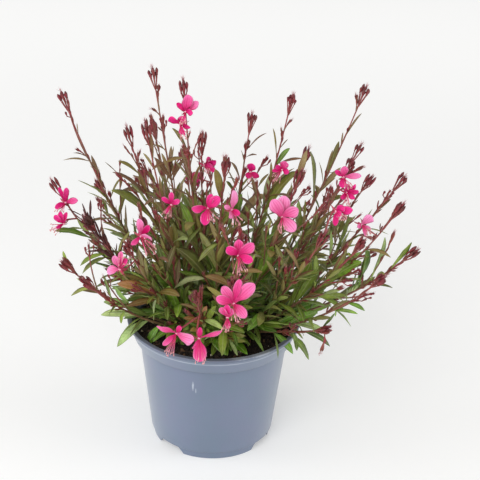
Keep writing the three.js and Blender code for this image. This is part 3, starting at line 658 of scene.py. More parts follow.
class Draws:
    # a seeded row of draws, each between a low and a high value
    def __init__(self, seed):
        self.state = seed

    def __call__(self, low=0, high=1):
        self.state = (self.state * 1664525 + 1013904223) % 2 ** 32
        return low + (high - low) * (self.state / 2 ** 32)


def size(v):
    return float(np.linalg.norm(v))


def unit(v):
    return v / sqrt(v[0] * v[0] + v[1] * v[1] + v[2] * v[2])


def cross(a, b):
    return np.array([a[1] * b[2] - a[2] * b[1], a[2] * b[0] - a[0] * b[2], a[0] * b[1] - a[1] * b[0]])


up = np.array([0.0, 0.0, 1.0])


def crossways(direction):
    first = np.array([1.0, 0, 0]) if abs(direction[2]) > 0.999 else unit(cross(direction, up))
    return first, cross(direction, first)


def leaned(axis, turn, lean):
    a, b = crossways(axis)
    return axis * cos(lean) + (a * cos(turn) + b * sin(turn)) * sin(lean)


def tilted(direction, angle):
    # leans a direction towards or away from the ground
    return direction * cos(angle) - cross(unit(cross(direction, up)), direction) * sin(angle)


class Bezier:
    def __init__(self, start, bend, finish):
        self.start, self.bend, self.finish, self.length = start, bend, finish, size(finish - start)

    def point(self, t):
        return self.start * (1 - t) ** 2 + self.bend * (2 * t * (1 - t)) + self.finish * t ** 2

    def heading(self, t):
        return unit((self.bend - self.start) * (1 - t) + (self.finish - self.bend) * t)


class FacetedLine:
    # runs straight between points at even shares of a curve; its hinge keeps the rings from turning
    def __init__(self, curve, steps, hinge=None):
        self.curve, self.steps, self.hinge, self.length = curve, steps, hinge, curve.length
        self.heading = curve.heading

    def point(self, t):
        step = min(self.steps - 1, floor(t * self.steps))
        before, after = self.curve.point(step / self.steps), self.curve.point((step + 1) / self.steps)
        return before + (after - before) * (t * self.steps - step)

    def ringAt(self, t, radius):
        a = crossways(self.heading(t))[0] if self.hinge is None else self.hinge
        b = cross(self.heading(t), a)
        turns = [2 * pi * j / 3 for j in range(3)]
        return [self.point(t) + a * (radius * cos(turn)) + b * (radius * sin(turn)) for turn in turns]


def archedLine(start, direction, length, droop):
    bend = start + direction * (length / 2)
    return Bezier(start, bend, bend + tilted(direction, droop) * (length / 2))


def clearOfPot(centre, radius):
    reach, gap = hypot(centre[0], centre[1]), radius + plant["clearance"]
    if reach < pot["bandBottomRadius"]:
        return centre[2] > soil["top"] + soil["relief"] + gap
    return centre[2] > pot["height"] + gap or reach > pot["rimRadius"] + gap


class Room:
    # balls strung along everything that has grown so far, as (centre, radius, at the root)
    def __init__(self, most=60000):
        self.rows, self.count = np.zeros((most, 6)), 0   # centre, radius, owner, at the root

    def take(self, balls, owner):
        rows = [(*centre, radius, owner, rooted) for centre, radius, rooted in balls]
        self.rows[self.count:self.count + len(rows)] = rows
        self.count += len(rows)

    def claim(self, balls, owner, slack=0.5):
        # takes the room only where nothing else has grown
        if not all(rooted or clearOfPot(centre, radius) for centre, radius, rooted in balls):
            return False
        centres, radii, rooted = (np.array(column) for column in zip(*balls))
        grown = self.rows[:self.count]
        gaps = ((centres[:, None, :] - grown[None, :, :3]) ** 2).sum(2)
        reach = radii[:, None] + grown[None, :, 3] + slack
        own = (grown[:, 4] == owner)[None, :] & (rooted[:, None] | (grown[None, :, 5] > 0))
        free = bool(np.all(own | (gaps > reach * reach)))
        if free:
            self.take(balls, owner)
        return free


def ballsAlong(line, radiusAt, count, rootShare):
    shares = [(i + 0.5) / count for i in range(count)]
    return [(line.point(t), radiusAt(t), t < rootShare) for t in shares]


def shootBalls(line, headRadius, stalkRadius):
    return ballsAlong(line, lambda t: headRadius if t > 0.7 else stalkRadius, 10, 0.16)


def bladeBalls(curve, halfWidth, count, rootShare):
    return ballsAlong(curve, lambda t: halfWidth * min(1, 1.5 * sin(pi * t)), count, rootShare)


def growTuft(line, grown, spread, everyOther, draws):
    # the middle bud and the buds on the facets of the swollen band, as (base, tip, radius)
    share = plant["budLength"] * grown / line.length
    radius = plant["budRadius"] * (0.4 + 0.6 * grown)
    bandEnd = 1 - 0.8 * share
    low, high = line.ringAt(1 - 1.1 * share, radius * 0.8), line.ringAt(bandEnd, radius * 0.9)
    facets = []
    for j, k in ((0, 1), (1, 2), (2, 0)):
        odd = j % 2
        facets += [(low[j], low[k], high[j if odd else k]), (low[k] if odd else low[j], high[k], high[j])]
    tip, middle = line.point(1), line.point(1 - 0.95 * share)
    axis = unit(tip - middle)
    buds = [(line.point(bandEnd), tip, radius)]
    for facet in facets[::2] if everyOther else facets:
        base = (facet[0] + facet[1] + facet[2]) / 3
        aside = unit(base - middle - axis * float((base - middle) @ axis))
        lean = spread * draws(*plant["budSpread"])
        length = plant["budLength"] * grown * draws(*plant["budReach"])
        buds.append((base, base + (axis * cos(lean) + aside * sin(lean)) * length, radius))
    return buds


room = Room()


class Stem:
    def __init__(self, number, name, values):
        across, depth, height, sweep, self.leafCount = values
        self.number, self.name = number, name
        self.draws = Draws(plant["seed"] + plant["seedStep"] * number)
        tip, crown = np.array([across, depth, height], float), plant["crownShare"]
        foot = np.array([across * crown, depth * crown, soil["top"] + plant["collarHeight"]])
        ahead = 0.5 + sweep / 2
        bend = foot + (tip - foot) * np.array([ahead, ahead, 1 - ahead])
        bend = bend + unit(cross(tip - foot, up)) * (self.draws(-1, 1) * plant["swayReach"])
        self.foot, self.tip, self.curve = foot, tip, Bezier(foot, bend, tip)
        self.line = FacetedLine(self.curve, plant["stemSteps"])
        self.leaves = []   # (curve, side, half width, age, freshness, how far that pales the bronze)
        self.shoots = []   # (line, buds)
        self.stalks = []   # (start, bend, finish) of the stalks that carry blooms
        self.fineShoots = []   # (line, size of its head, freshness) of what only the looks add
        reach = plant["stemRadius"] + 0.2
        room.take(ballsAlong(self.line, lambda t: reach, ceil(self.line.length / 4), 2), number)

    def growHead(self):
        p, headStart = plant, 1 - plant["budLength"] / self.line.length
        self.buds = growTuft(self.line, 1, p["headSpread"], False, self.draws)
        balls = ballsAlong(self.line, lambda t: p["headBall" if t > headStart else "stemBall"], 12, 2)
        room.take(balls, self.number)

    def shootCourse(self):
        t = self.draws(*plant["shootStart"])
        turn = 2 * pi * self.draws()
        length = self.line.length * self.draws(*plant["shootLength"])
        if self.name not in solidShoots:
            return self.line.point(t), leaned(self.line.heading(t), turn, plant["shootLean"]), length
        share, tip = solidShoots[self.name]
        start, half = self.line.point(share), plant["shootRise"] / 2
        chord = np.array(tip, float) - start
        return start, tilted(unit(chord), half), size(chord) / cos(half)

    def growShoot(self):
        p = plant
        for attempt in range(p["tries"]):
            start, direction, length = self.shootCourse()
            curve = archedLine(start, direction, length, -p["shootRise"])
            line = FacetedLine(curve, 2, crossways(direction)[0])
            if room.claim(shootBalls(line, p["headBall"], p["shootBall"]), self.number):
                self.shoots.append((line, growTuft(line, p["shootHead"], p["shootSpread"], True, self.draws)))
                return

    def tryLeaf(self, line, t, turn, lean, length, halfWidth, droop, fresh, age=None,
                balls=(1, 8, 0.2), slack=0.5):
        axis = line.heading(t)
        curve = archedLine(line.point(t), leaned(axis, turn, lean), length, droop)
        slim, count, rootShare = balls
        if not room.claim(bladeBalls(curve, slim * halfWidth, count, rootShare), self.number, slack):
            return False
        side = -unit(cross(curve.bend - curve.start, axis))
        self.leaves.append((curve, side, halfWidth, t if age is None else age, fresh, 0.5))
        return True

    def growLeaves(self):
        p, draws = plant, self.draws
        for i in range(self.leafCount):
            rank = (i + 0.5) / self.leafCount
            for attempt in range(p["tries"]):
                t = p["leafFrom"] + p["leafSpan"] * rank ** p["leafCrowding"]
                t += p["leafScatter"] * draws(-0.5, 0.5)
                turn = p["leafTurn"] * draws(-0.5, 0.5) * (1 + p["retryTurn"] * attempt)
                turn += p["goldenAngle"] * i
                fit = 1 - p["retryFit"] * attempt
                length = p["longestLeaf"] - p["leafShortening"] * rank
                length = length * draws(*p["leafLength"]) * fit
                halfWidth = length * draws(*p["leafSlim"]) * fit
                lean, droop = draws(*p["leafLean"]), draws(*p["leafDroop"])
                fresh = p["leafFresh"] * (1 - rank)
                if self.tryLeaf(self.line, t, turn, lean, length, halfWidth, droop, fresh):
                    break

    def nearestShare(self, point):
        return min(np.arange(0, 1.0001, 0.01), key=lambda t: size(self.line.point(t) - point))


class Bloom:
    def __init__(self, number, node, stemName, place, facing, fanTurn, grown, stamenEnd, petals):
        self.number, self.node, self.stemName, self.size = number, node, stemName, grown
        self.stamenEnd, self.petals, self.throat = stamenEnd, petals, np.array(place, float)
        turn, rise = radians(facing[0]), radians(facing[1])
        self.ahead = np.array([cos(rise) * sin(turn), -cos(rise) * cos(turn), sin(rise)])
        self.right = unit(cross(self.ahead, up))
        self.above = cross(self.right, self.ahead)
        self.fanTurn = radians(fanTurn)
        self.tubeEnd = self.throat - self.ahead * plant["tubeLength"] * grown

    def fan(self, angle, lean):
        outward = self.above * cos(angle) - self.right * sin(angle)
        return outward * cos(lean) + self.ahead * sin(lean)

    def balls(self):
        p, grown, throat = plant, self.size, self.throat
        around = [self.fan(radians(angle) - self.fanTurn, p["petalLean"]) * p["petalReach"]
                  for angle in p["petalAngles"]] + [self.fan(pi, p["hangLean"]) * p["hangReach"]]
        return [(throat, p["throatBall"], False), (self.tubeEnd, p["tubeBall"], True)] + [
            (throat + away * grown, p["petalBall"] * grown, False) for away in around]


stems = [Stem(number, name, values) for number, (name, values) in enumerate(mainStems.items())]
stemByName = {stem.name: stem for stem in stems}
for stem in stems:
    stem.growHead()
grownBlooms = [Bloom(number, *row) for number, row in enumerate(blooms)]
for bloom in grownBlooms:
    stem = stemByName[bloom.stemName]
    root = stem.line.point(max(0.05, stem.nearestShare(bloom.tubeEnd) - 0.04))
    reach = bloom.tubeEnd - bloom.ahead * 0.3
    stem.stalks.append((root, reach - bloom.ahead * 1.5, reach + bloom.ahead * 0.6))
    room.take(bloom.balls(), stem.number)
for stem in stems:
    stem.growShoot()
for stem in stems:
    stem.growLeaves()
print("grown as the solids:", sum(len(stem.leaves) for stem in stems), "leaves")


# what only the looks add: more leaves, thin side shoots, slim buds and hairs

extras = {
    "seed": 611, "seedStep": 4001, "tries": 8, "slack": 0.1, "leafBalls": (0.5, 7, 0.25),
    "shoots": 3, "lowShoots": 1, "shootLeaves": 5, "shootStart": (0.12, 0.5), "shootLength": (0.16, 0.34),
    "shootLean": (0.28, 0.5), "headSize": (0.3, 0.75), "leafSize": (0.7, 1.2), "leafLean": (0.4, 0.8),
    "leafSlim": (0.08, 0.11), "leafDroop": (-0.1, 0.4), "longestLeaf": 25, "leafShortening": 14,
    "outerReach": 105, "outerShare": 0.62, "lowTip": 175, "lowShare": 0.32, "bareStem": "overRim",
    "fineSteps": 6, "fineDroop": -0.15, "fineBalls": (1.4, 0.6), "leafTurn": 5, "retryFit": 0.05,
    "placedPaling": 0.9, "placedArch": 0.1, "placedFacing": (0, -0.4, 0.3), "placedBalls": (0.5, 7, 0.3),
    "placedAlong": 0.6, "placedBend": 0.34, "placedShootBalls": (1.6, 0.6),
}

# stems with fewer leaves than the others
thinStems = {"leftSprawl": 0.3, "leftLow": 0.4, "frontRightLow": 0.3, "backLeftOuter": 0.6, "rightFar": 0.7}

# zones of a stem, from the crown up: leaves, spans of share, length, width per length, lean and droop, and
# how fresh they are
leafZones = [
    (7, (0.0, 0.16), (26, 42), (0.09, 0.125), (0.4, 1.0), (0.1, 0.7), 1.0),
    (9, (0.12, 0.42), (24, 38), (0.075, 0.11), (0.25, 0.65), (0.0, 0.5), 0.6),
    (9, (0.38, 0.66), (14, 27), (0.07, 0.1), (0.2, 0.55), (-0.1, 0.3), 0.15),
    (2, (0.6, 0.84), (7, 14), (0.065, 0.095), (0.15, 0.5), (-0.1, 0.3), 0.0),
]

# single leaves that the photograph shows plainly, by stem: share of the stem, pixel of the leaf's tip, how
# far the tip comes forward, width per length, freshness
placedLeaves = {
    "leftSprawl": [(0.31, 117, 347, 8, 0.13, 0.9), (0.2, 146, 351, 6, 0.15, 1.0)],
    "frontRed": [(0.05, 236, 360, 14, 0.16, 0.9), (0.03, 163, 351, 10, 0.12, 1.0),
        (0.4, 197, 317, 8, 0.13, -1.0), (0.36, 204, 316, 9, 0.12, -1.0), (0.42, 183, 318, 7, 0.12, -1.0),
        (0.3, 190, 331, 12, 0.14, -0.8), (0.55, 207, 306, 5, 0.12, -0.8)],
    "frontRightHead": [(0.03, 231, 347, 10, 0.14, 1.0), (0.28, 247, 331, 14, 0.16, 0.9)],
    "overRim": [(0.34, 293, 354, 6, 0.13, 1.0), (0.56, 297, 351, 2, 0.15, 0.2),
        (0.1, 263, 308, 10, 0.11, 0.7), (0.88, 335, 313, 2, 0.1, 0.1)],
    "frontRightLow": [(0.22, 318, 312, 4, 0.12, 1.0), (0.6, 335, 317, 4, 0.13, 0.9),
        (0.68, 365, 311, 2, 0.14, 1.0), (0.56, 358, 314, 6, 0.07, 0.6)],
    "frontRightShort": [(0.34, 311, 262, 4, 0.12, 0.6), (0.38, 318, 268, 8, 0.13, 0.8)],
    "leftFrontBloom": [(0.24, 171, 287, 6, 0.11, 0.9), (0.5, 117, 284, 3, 0.13, -0.6),
        (0.16, 169, 286, 22, 0.13, 0.7)],
    "leftLow": [(0.36, 115, 286, 4, 0.13, 0.9), (0.93, 63, 251, 1, 0.16, 0.1)],
    "leftTall": [(0.53, 89, 185, 4, 0.1, 0.3), (0.47, 102, 200, 6, 0.11, 0.1),
        (0.73, 73, 153, 4, 0.11, 0.1), (0.83, 77, 123, -2, 0.08, 0.0), (0.42, 104, 212, 8, 0.14, 0.6)],
    "leftInner": [(0.76, 118, 161, 2, 0.11, 0.3), (0.52, 111, 190, 4, 0.13, 0.5),
        (0.6, 128, 183, 8, 0.12, 0.3), (0.66, 112, 172, 2, 0.1, 0.0)],
    "frontLeftTall": [(0.8, 143, 153, -2, 0.09, 0.2), (0.84, 151, 134, 4, 0.09, 0.1)],
    "tallest": [(0.66, 152, 170, 6, 0.12, 0.1)],
    "centreBloom": [(0.72, 172, 128, 4, 0.1, 0.3)],
    "centreRight": [(0.68, 231, 162, 2, 0.11, 0.1), (0.83, 267, 133, 2, 0.08, 0.0),
        (0.45, 242, 194, 4, 0.14, 0.9), (0.5, 266, 195, 2, 0.14, 0.0), (0.58, 226, 181, 2, 0.12, 0.1),
        (0.8, 257, 155, 3, 0.17, 0.1)],
    "rightUpright": [(0.74, 273, 128, 2, 0.04, 0.2), (0.7, 290, 148, -2, 0.13, 1.0),
        (0.5, 298, 171, 2, 0.13, 0.5)],
    "frontRightTall": [(0.9, 307, 150, 2, 0.11, 0.1), (0.6, 283, 268, 8, 0.12, 0.5),
        (0.34, 273, 246, 12, 0.11, 0.4)],
    "rightTall": [(0.55, 310, 151, 4, 0.1, 0.6), (0.67, 339, 141, 2, 0.09, 0.5),
        (0.8, 362, 113, 2, 0.05, 0.2)],
    "rightReach": [(0.76, 391, 199, -2, 0.1, 0.3), (0.5, 349, 214, 8, 0.13, 0.6)],
    "rightFar": [(0.62, 393, 288, 6, 0.07, 0.0), (0.55, 368, 250, 4, 0.13, 0.6),
        (0.8, 412, 242, 2, 0.13, 0.1), (0.66, 385, 237, 3, 0.13, 0.5), (0.58, 366, 246, 6, 0.13, 0.7)],
    "leftBloom": [(0.62, 54, 231, 6, 0.11, 0.9), (0.52, 80, 266, 8, 0.15, 0.8),
        (0.5, 82, 274, 12, 0.16, 0.7), (0.56, 86, 250, 2, 0.13, 0.6), (0.3, 112, 262, 10, 0.13, 0.8)],
    "rightBack": [(0.62, 311, 195, 0, 0.12, 0.8)],
    "rightUpturned": [(0.62, 347, 253, 6, 0.12, 0.7), (0.44, 362, 262, 10, 0.13, 0.9)],
    "frontCentre": [(0.55, 198, 262, 6, 0.12, 0.6), (0.76, 215, 169, 4, 0.13, 0.2),
        (0.6, 232, 196, 3, 0.12, 0.5), (0.24, 176, 248, 12, 0.11, 0.2)],
    "backCentreLeft": [(0.5, 190, 206, 4, 0.12, 0.4)],
    "frontBloom": [(0.2, 213, 322, 4, 0.12, 1.0)],
    "backLeftInner": [(0.56, 122, 190, 12, 0.12, 0.2)],
    "frontLeftBloom": [(0.3, 150, 262, 10, 0.12, 0.6)],
}

# small side shoots that show plainly, by stem: share, pixel of the head's tip, how far it comes forward,
# size of its head, how fresh and red it is
placedShoots = {
    "leftTall": [(0.72, 76, 149, 2, 0.3, 0.2), (0.64, 100, 175, 2, 0.45, 0.6),
        (0.88, 68, 101, 1, 0.45, 0.5), (0.5, 109, 192, 4, 0.6, 0.3)],
    "leftInner": [(0.8, 124, 146, 2, 0.45, 0.2), (0.82, 140, 151, -2, 0.4, 0.5),
        (0.62, 135, 178, 6, 0.6, 0.4), (0.5, 117, 174, 6, 0.8, 0.4)],
    "backLeftInner": [(0.7, 145, 120, -4, 0.7, 0.1), (0.74, 151, 115, 0, 0.6, 0.3)],
    "tallest": [(0.83, 151, 109, 2, 0.35, 0.1), (0.75, 163, 116, -2, 0.6, 0.2),
        (0.87, 159, 85, 1, 0.5, 0.4), (0.6, 188, 149, 2, 0.85, 0.3)],
    "centreBloom": [(0.68, 183, 146, 4, 0.75, 0.2), (0.68, 202, 133, -6, 0.4, 0.7)],
    "frontCentre": [(0.88, 225, 157, 2, 0.8, 0.1), (0.62, 238, 178, 4, 0.8, 0.8)],
    "frontRightTall": [(0.88, 304, 172, 4, 0.9, 0.4)],
    "rightBack": [(0.62, 324, 196, 2, 0.6, 0.4)],
    "rightMiddle": [(0.79, 331, 187, 2, 0.4, 0.2), (0.8, 349, 167, 4, 0.7, 0.4),
        (0.9, 363, 167, 2, 0.8, 0.1)],
    "rightUpturned": [(0.86, 395, 211, 0, 0.5, 0.6)],
    "rightFar": [(0.6, 360, 274, 2, 0.6, 0.2), (0.68, 386, 276, 2, 0.7, 0.4),
        (0.6, 394, 232, 4, 0.9, 0.9)],
    "frontRightHead": [(0.86, 326, 231, 2, 0.8, 0.3)],
    "rightUpright": [(0.86, 292, 120, 1, 0.3, 0.4)],
    "rightTall": [(0.91, 356, 95, 1, 0.5, 0.5)],
    "overRim": [(0.9, 331, 325, 2, 0.5, 0.6), (0.93, 320, 353, 3, 0.7, 0.6)],
    "frontRed": [(0.35, 186, 311, 6, 0.7, 1.0), (0.62, 202, 288, 4, 0.7, 0.6)],
    "rightReach": [(0.62, 372, 239, -14, 0.7, 0.5)],
    "leftLow": [(0.85, 64, 259, 2, 0.4, 0.1)],
    "leftBloom": [(0.7, 84, 222, 1, 0.5, 0.3)],
    "frontLeftBloom": [(0.86, 139, 205, 2, 0.9, 0.3)],
    "frontRightBloom": [(0.86, 240, 228, 4, 0.8, 0.9), (0.66, 222, 226, 6, 0.8, 0.9)],
    "centreRight": [(0.74, 246, 143, 2, 0.7, 0.2), (0.6, 245, 168, 4, 0.8, 0.3)],
}


def growPlacedLeaf(stem, t, x, y, forward, slim, fresh):
    base, axis = stem.line.point(t), stem.line.heading(t)
    tip = fromPhoto(x, y, base[1] - forward)
    length = size(tip - base)
    curve = Bezier(base, (base + tip) / 2 + (axis + up) * (extras["placedArch"] * length), tip)
    side = -unit(cross(tip - base, axis + np.array(extras["placedFacing"])))
    stem.leaves.append((curve, side, length * slim, t, fresh, extras["placedPaling"]))
    share, count, rootShare = extras["placedBalls"]
    room.take(ballsAlong(curve, lambda s: length * slim * share, count, rootShare), stem.number)


def growPlacedShoot(stem, t, x, y, forward, grown, fresh):
    base, axis = stem.line.point(t), stem.line.heading(t)
    tip = fromPhoto(x, y, base[1] - forward)
    reach = extras["placedBend"] * size(tip - base)
    bend = base + (unit(tip - base) + extras["placedAlong"] * axis) * reach
    line = FacetedLine(Bezier(base, bend, tip), extras["fineSteps"])
    stem.fineShoots.append((line, grown, fresh))
    room.take(shootBalls(line, *extras["placedShootBalls"]), stem.number)


def growFineShoot(stem, draws):
    loose = {"balls": extras["leafBalls"], "slack": extras["slack"]}
    for attempt in range(extras["tries"]):
        t = draws(*extras["shootStart"])
        length = stem.line.length * draws(*extras["shootLength"])
        direction = leaned(stem.line.heading(t), 2 * pi * draws(), draws(*extras["shootLean"]))
        curve = archedLine(stem.line.point(t), direction, length, extras["fineDroop"])
        line = FacetedLine(curve, extras["fineSteps"])
        if not room.claim(shootBalls(line, *extras["fineBalls"]), stem.number, extras["slack"]):
            continue
        stem.fineShoots.append((line, draws(*extras["headSize"]), draws()))
        for j in range(extras["shootLeaves"]):
            share = 0.1 + 0.7 * (j + draws()) / extras["shootLeaves"]
            length = (extras["longestLeaf"] - extras["leafShortening"] * share) * draws(*extras["leafSize"])
            turn = plant["goldenAngle"] * j + draws()
            lean = draws(*extras["leafLean"])
            halfWidth = length * draws(*extras["leafSlim"])
            stem.tryLeaf(line, share, turn, lean, length, halfWidth, draws(*extras["leafDroop"]),
                         0.6 * (1 - t), 0.4 + 0.4 * share, **loose)
        return


def growExtras(stem):
    draws = Draws(extras["seed"] + extras["seedStep"] * stem.number)
    isLow = stem.tip[2] < extras["lowTip"]
    for i in range(0 if stem.name in thinStems else extras["lowShoots" if isLow else "shoots"]):
        growFineShoot(stem, draws)
    cover = extras["outerShare"] if hypot(stem.tip[0], stem.tip[1]) > extras["outerReach"] else 1
    cover = (extras["lowShare"] if isLow else cover) * thinStems.get(stem.name, 1)
    for leaves, share, lengths, slim, lean, droop, fresh in leafZones:
        for i in range(round(leaves * cover)):
            for attempt in range(extras["tries"]):
                t = draws(*share)
                length = draws(*lengths) * (1 - extras["retryFit"] * attempt)
                halfWidth = length * draws(*slim)
                turn = plant["goldenAngle"] * i + extras["leafTurn"] * draws()
                if stem.tryLeaf(stem.line, t, turn, draws(*lean), length, halfWidth,
                                draws(*droop), fresh, None, extras["leafBalls"], extras["slack"]):
                    break


for stem in stems:
    for row in placedLeaves.get(stem.name, ()):
        growPlacedLeaf(stem, *row)
    for row in placedShoots.get(stem.name, ()):
        growPlacedShoot(stem, *row)
for stem in stems:
    if stem.name != extras["bareStem"]:
        growExtras(stem)
print("with the extras:", sum(len(stem.leaves) for stem in stems), "leaves")

stemForms = ("leaf", "bud", "stalk", "hair")
bloomForms = ("petal", "filament", "anther", "sepal")

leafForm = {
    "flatness": 0.085, "fold": 0.3, "ripple": 0.12, "twist": 0.4, "rippleCount": 2.2, "greenBelow": 114,
    "bronzeReach": 110, "bronzeDraw": (-0.42, 0.48), "lowStemGreen": 0.22, "bronzeMost": 0.62,
    "freshDraw": (0.35, 1.0), "narrowFrom": 1.55, "narrowest": 0.55, "seed": 77, "seedStep": 131,
}

# each kind of stalk: its radius at the start and at the end
stalkForm = {
    "main": (1.0, 0.42), "collar": (1.1, 1.0), "shoot": (0.55, 0.36), "fine": (0.5, 0.3),
    "bloom": (0.55, 0.7), "bud": (0.34, 0.34),
}

headForm = {
    "keep": 0.6, "open": 0.8, "gather": 0.25, "lowerBuds": 9, "nearest": 8, "lowest": 34, "crowding": 1.9,
    "length": (6, 10), "radius": (0.5, 0.74), "lean": (0.05, 0.22),
    "ownBuds": 8, "ownBack": (7, 10), "ownReach": (0.85, 1.1), "ownLean": (0.03, 0.3), "ownRadius": 0.78,
    "hairs": 22, "hairLength": (2.0, 4.4), "hairRadius": 0.09, "hairLean": (0.05, 0.7), "hairRise": 0.1,
    "hairSpread": 1.2, "hairDepth": 3, "budHair": (1.5, 3), "budHairLean": 0.3, "budHairShare": 0.5,
    "shortKeep": 0.38, "shortBuds": 3, "shortest": 13,
    "shortHeads": ("leftTall", "rightReach", "rightUpright", "rightBack", "tallest", "centreRight",
                   "rightTall", "rightMiddle"),
}

# clusters of a few small buds at the joints of the stems
jointBuds = {
    "clusters": 9, "share": (0.32, 0.84), "buds": (2, 4), "length": (3.5, 8), "radius": (0.35, 0.7),
    "lean": (0.15, 0.8),
}

# dry brown twigs and seed cases crowded on one stem
dryTwigs = {
    "stem": "leftDry", "twigs": 62, "share": (0.5, 0.99), "length": (7, 19), "radius": (0.4, 0.95),
    "lean": (0.1, 1.0), "rise": (-0.4, 1.2), "headFresh": -1.6,
}


def addBud(growth, line, t, direction, length, radius, fresh, draws):
    start = line.point(t)
    bend = start + direction * (length / 2)
    end = bend + unit(direction + 0.8 * line.heading(t)) * (length / 2)
    tones = draws(), fresh * draws(), 0.3 * draws()
    growth.addRound("bud", start, bend, end, radius, None, tones)
    form = headForm
    if draws() < form["budHairShare"]:
        hair = leaned(unit(end - bend), fullTurn * draws(), form["budHairLean"])
        hair = hair * draws(*form["budHair"])
        growth.addRound("hair", end - (end - bend) * 0.1, end, end + hair, form["hairRadius"])


def addHead(growth, line, buds, grownSize, fresh, draws, short=False):
    # pulls the tuft's buds together and adds slim ones down the stem, and fine hairs at the tips
    form, grown = headForm, 0.4 + 0.6 * grownSize
    keep, lowerBuds, lowest = (form[key] for key in (
        ("shortKeep", "shortBuds", "shortest") if short else ("keep", "lowerBuds", "lowest")))
    tip, axis = line.point(1), unit(line.point(1) - line.point(0.93))
    for base, end, radius in buds:
        start = end + (tip - end) * form["gather"] - axis * size(end - base) * keep
        end = end + (end - tip - axis * float((end - tip) @ axis)) * (form["open"] - 1)
        tones = 0.35 * draws(), fresh * draws(), 0.1 * draws()
        growth.addRound("bud", start, start + axis * (keep * 6), end, radius, None, tones)
        growth.addRound("stalk", base, (base + start) / 2, start + axis * 0.6, *stalkForm["bud"],
                        (0.5, 0.8, 0.9))
    for i in range(0 if buds else round(form["ownBuds"] * grown)):
        back = draws(*form["ownBack"]) * grown
        t = max(0.2, 1 - back / line.length)
        direction = leaned(line.heading(t), plant["goldenAngle"] * i, draws(*form["ownLean"]))
        addBud(growth, line, t, direction, back * draws(*form["ownReach"]),
               form["ownRadius"] * grown, fresh, draws)
    count = round(lowerBuds * grown)
    for i in range(count):
        share = (i + draws()) / count
        back = (form["nearest"] + (lowest - form["nearest"]) * share ** form["crowding"]) * grown
        t = max(0.25, 1 - back / line.length)
        turn = plant["goldenAngle"] * i + 2 * draws()
        direction = leaned(line.heading(t), turn, draws(*form["lean"]))
        addBud(growth, line, t, direction, draws(*form["length"]) * grown,
               draws(*form["radius"]) * grown, fresh, draws)
    for i in range(round(form["hairs"] * grownSize)):
        aside = leaned(axis, fullTurn * draws(), 1.2) * (form["hairSpread"] * draws())
        start = tip + aside - axis * (form["hairDepth"] * draws())
        direction = leaned(axis, fullTurn * draws(), draws(*form["hairLean"]))
        length = draws(*form["hairLength"]) * (0.5 + 0.5 * grownSize)
        end = start + direction * length + up * (form["hairRise"] * length)
        growth.addRound("hair", start, start + direction * (0.6 * length), end, form["hairRadius"])


def addTwigs(growth, line, draws):
    for i in range(dryTwigs["twigs"]):
        t = draws(*dryTwigs["share"])
        direction = leaned(line.heading(t), fullTurn * draws(), draws(*dryTwigs["lean"]))
        length = draws(*dryTwigs["length"])
        start = line.point(t)
        bend = start + direction * (0.5 * length)
        finish = bend + unit(direction + up * draws(*dryTwigs["rise"])) * (0.5 * length)
        growth.addRound("bud", start, bend, finish, draws(*dryTwigs["radius"]), None, (
            draws(0, 0.3), draws(-0.5, -1), 0))


def addLeaves(growth, stem, draws):
    form = leafForm
    for curve, side, halfWidth, age, fresh, paling in stem.leaves:
        twist = form["twist"] * draws(-1, 1)
        halfWidth *= min(1, max(form["narrowest"], form["narrowFrom"] - age))
        high = (curve.start[2] - form["greenBelow"]) / form["bronzeReach"]
        if stem.tip[2] < extras["lowTip"]:
            high -= form["lowStemGreen"]
        bronze = max(0.0, min(form["bronzeMost"], high + draws(*form["bronzeDraw"])))
        ripple, shade = form["ripple"] * draws(), draws()
        tones = shade, bronze * (1 - paling * max(0, fresh)), fresh * draws(*form["freshDraw"])
        growth.add("leaf", curve.start, curve.bend, curve.finish, side,
                   (halfWidth, halfWidth, form["flatness"]), (form["fold"], ripple, twist), tones)


def dressStem(stem):
    growth, line, isDry = Growth(stemForms), stem.line, stem.name == dryTwigs["stem"]
    draws = Draws(leafForm["seed"] + leafForm["seedStep"] * stem.number)
    below = stem.foot - up * 5
    tones = 0.5, draws(0.15, 0.35), draws(0.85, 1)
    growth.addRound("stalk", stem.curve.start, stem.curve.bend, stem.curve.finish - line.heading(1) * 6,
                    *stalkForm["main"], tones)
    growth.addRound("stalk", below, (below + stem.foot) / 2, stem.foot + up * 0.6, *stalkForm["collar"],
                    (0.5, 0.2, 0.2))
    addHead(growth, line, stem.buds, 1, dryTwigs["headFresh"] if isDry else 0.35, draws,
            stem.name in headForm["shortHeads"])
    # each shoot: line, buds, size of its head, freshness, kind of its stalk, how much shorter that is, tone
    shoots = [(shoot, buds, plant["shootHead"], 0.5, "shoot", 4, 0.9) for shoot, buds in stem.shoots]
    shoots += [(*shoot[:1], [], *shoot[1:], "fine", 2, 0.8 + 0.2 * shoot[2]) for shoot in stem.fineShoots]
    for shoot, buds, grown, fresh, kind, shortBy, tone in shoots:
        end = shoot.point(1) - shoot.heading(1) * shortBy
        growth.addRound("stalk", shoot.curve.start, shoot.curve.bend, end, *stalkForm[kind], (0.5, 0.4, tone))
        addHead(growth, shoot, buds, grown, fresh, draws)
    for start, bend, finish in stem.stalks:
        growth.addRound("stalk", start, bend, finish, *stalkForm["bloom"], (0.5, 0.9, 1.0))
    for i in range(jointBuds["clusters"]):
        t = draws(*jointBuds["share"])
        turn = fullTurn * draws()
        for j in range(round(draws(*jointBuds["buds"]))):
            direction = leaned(line.heading(t), turn + draws(), draws(*jointBuds["lean"]))
            addBud(growth, line, t, direction, draws(*jointBuds["length"]),
                   draws(*jointBuds["radius"]), 0.4, draws)
    if isDry:
        addTwigs(growth, line, draws)
    addLeaves(growth, stem, draws)
    return growth.asObject("leafyStem%02d" % (stem.number + 1), stemTree)


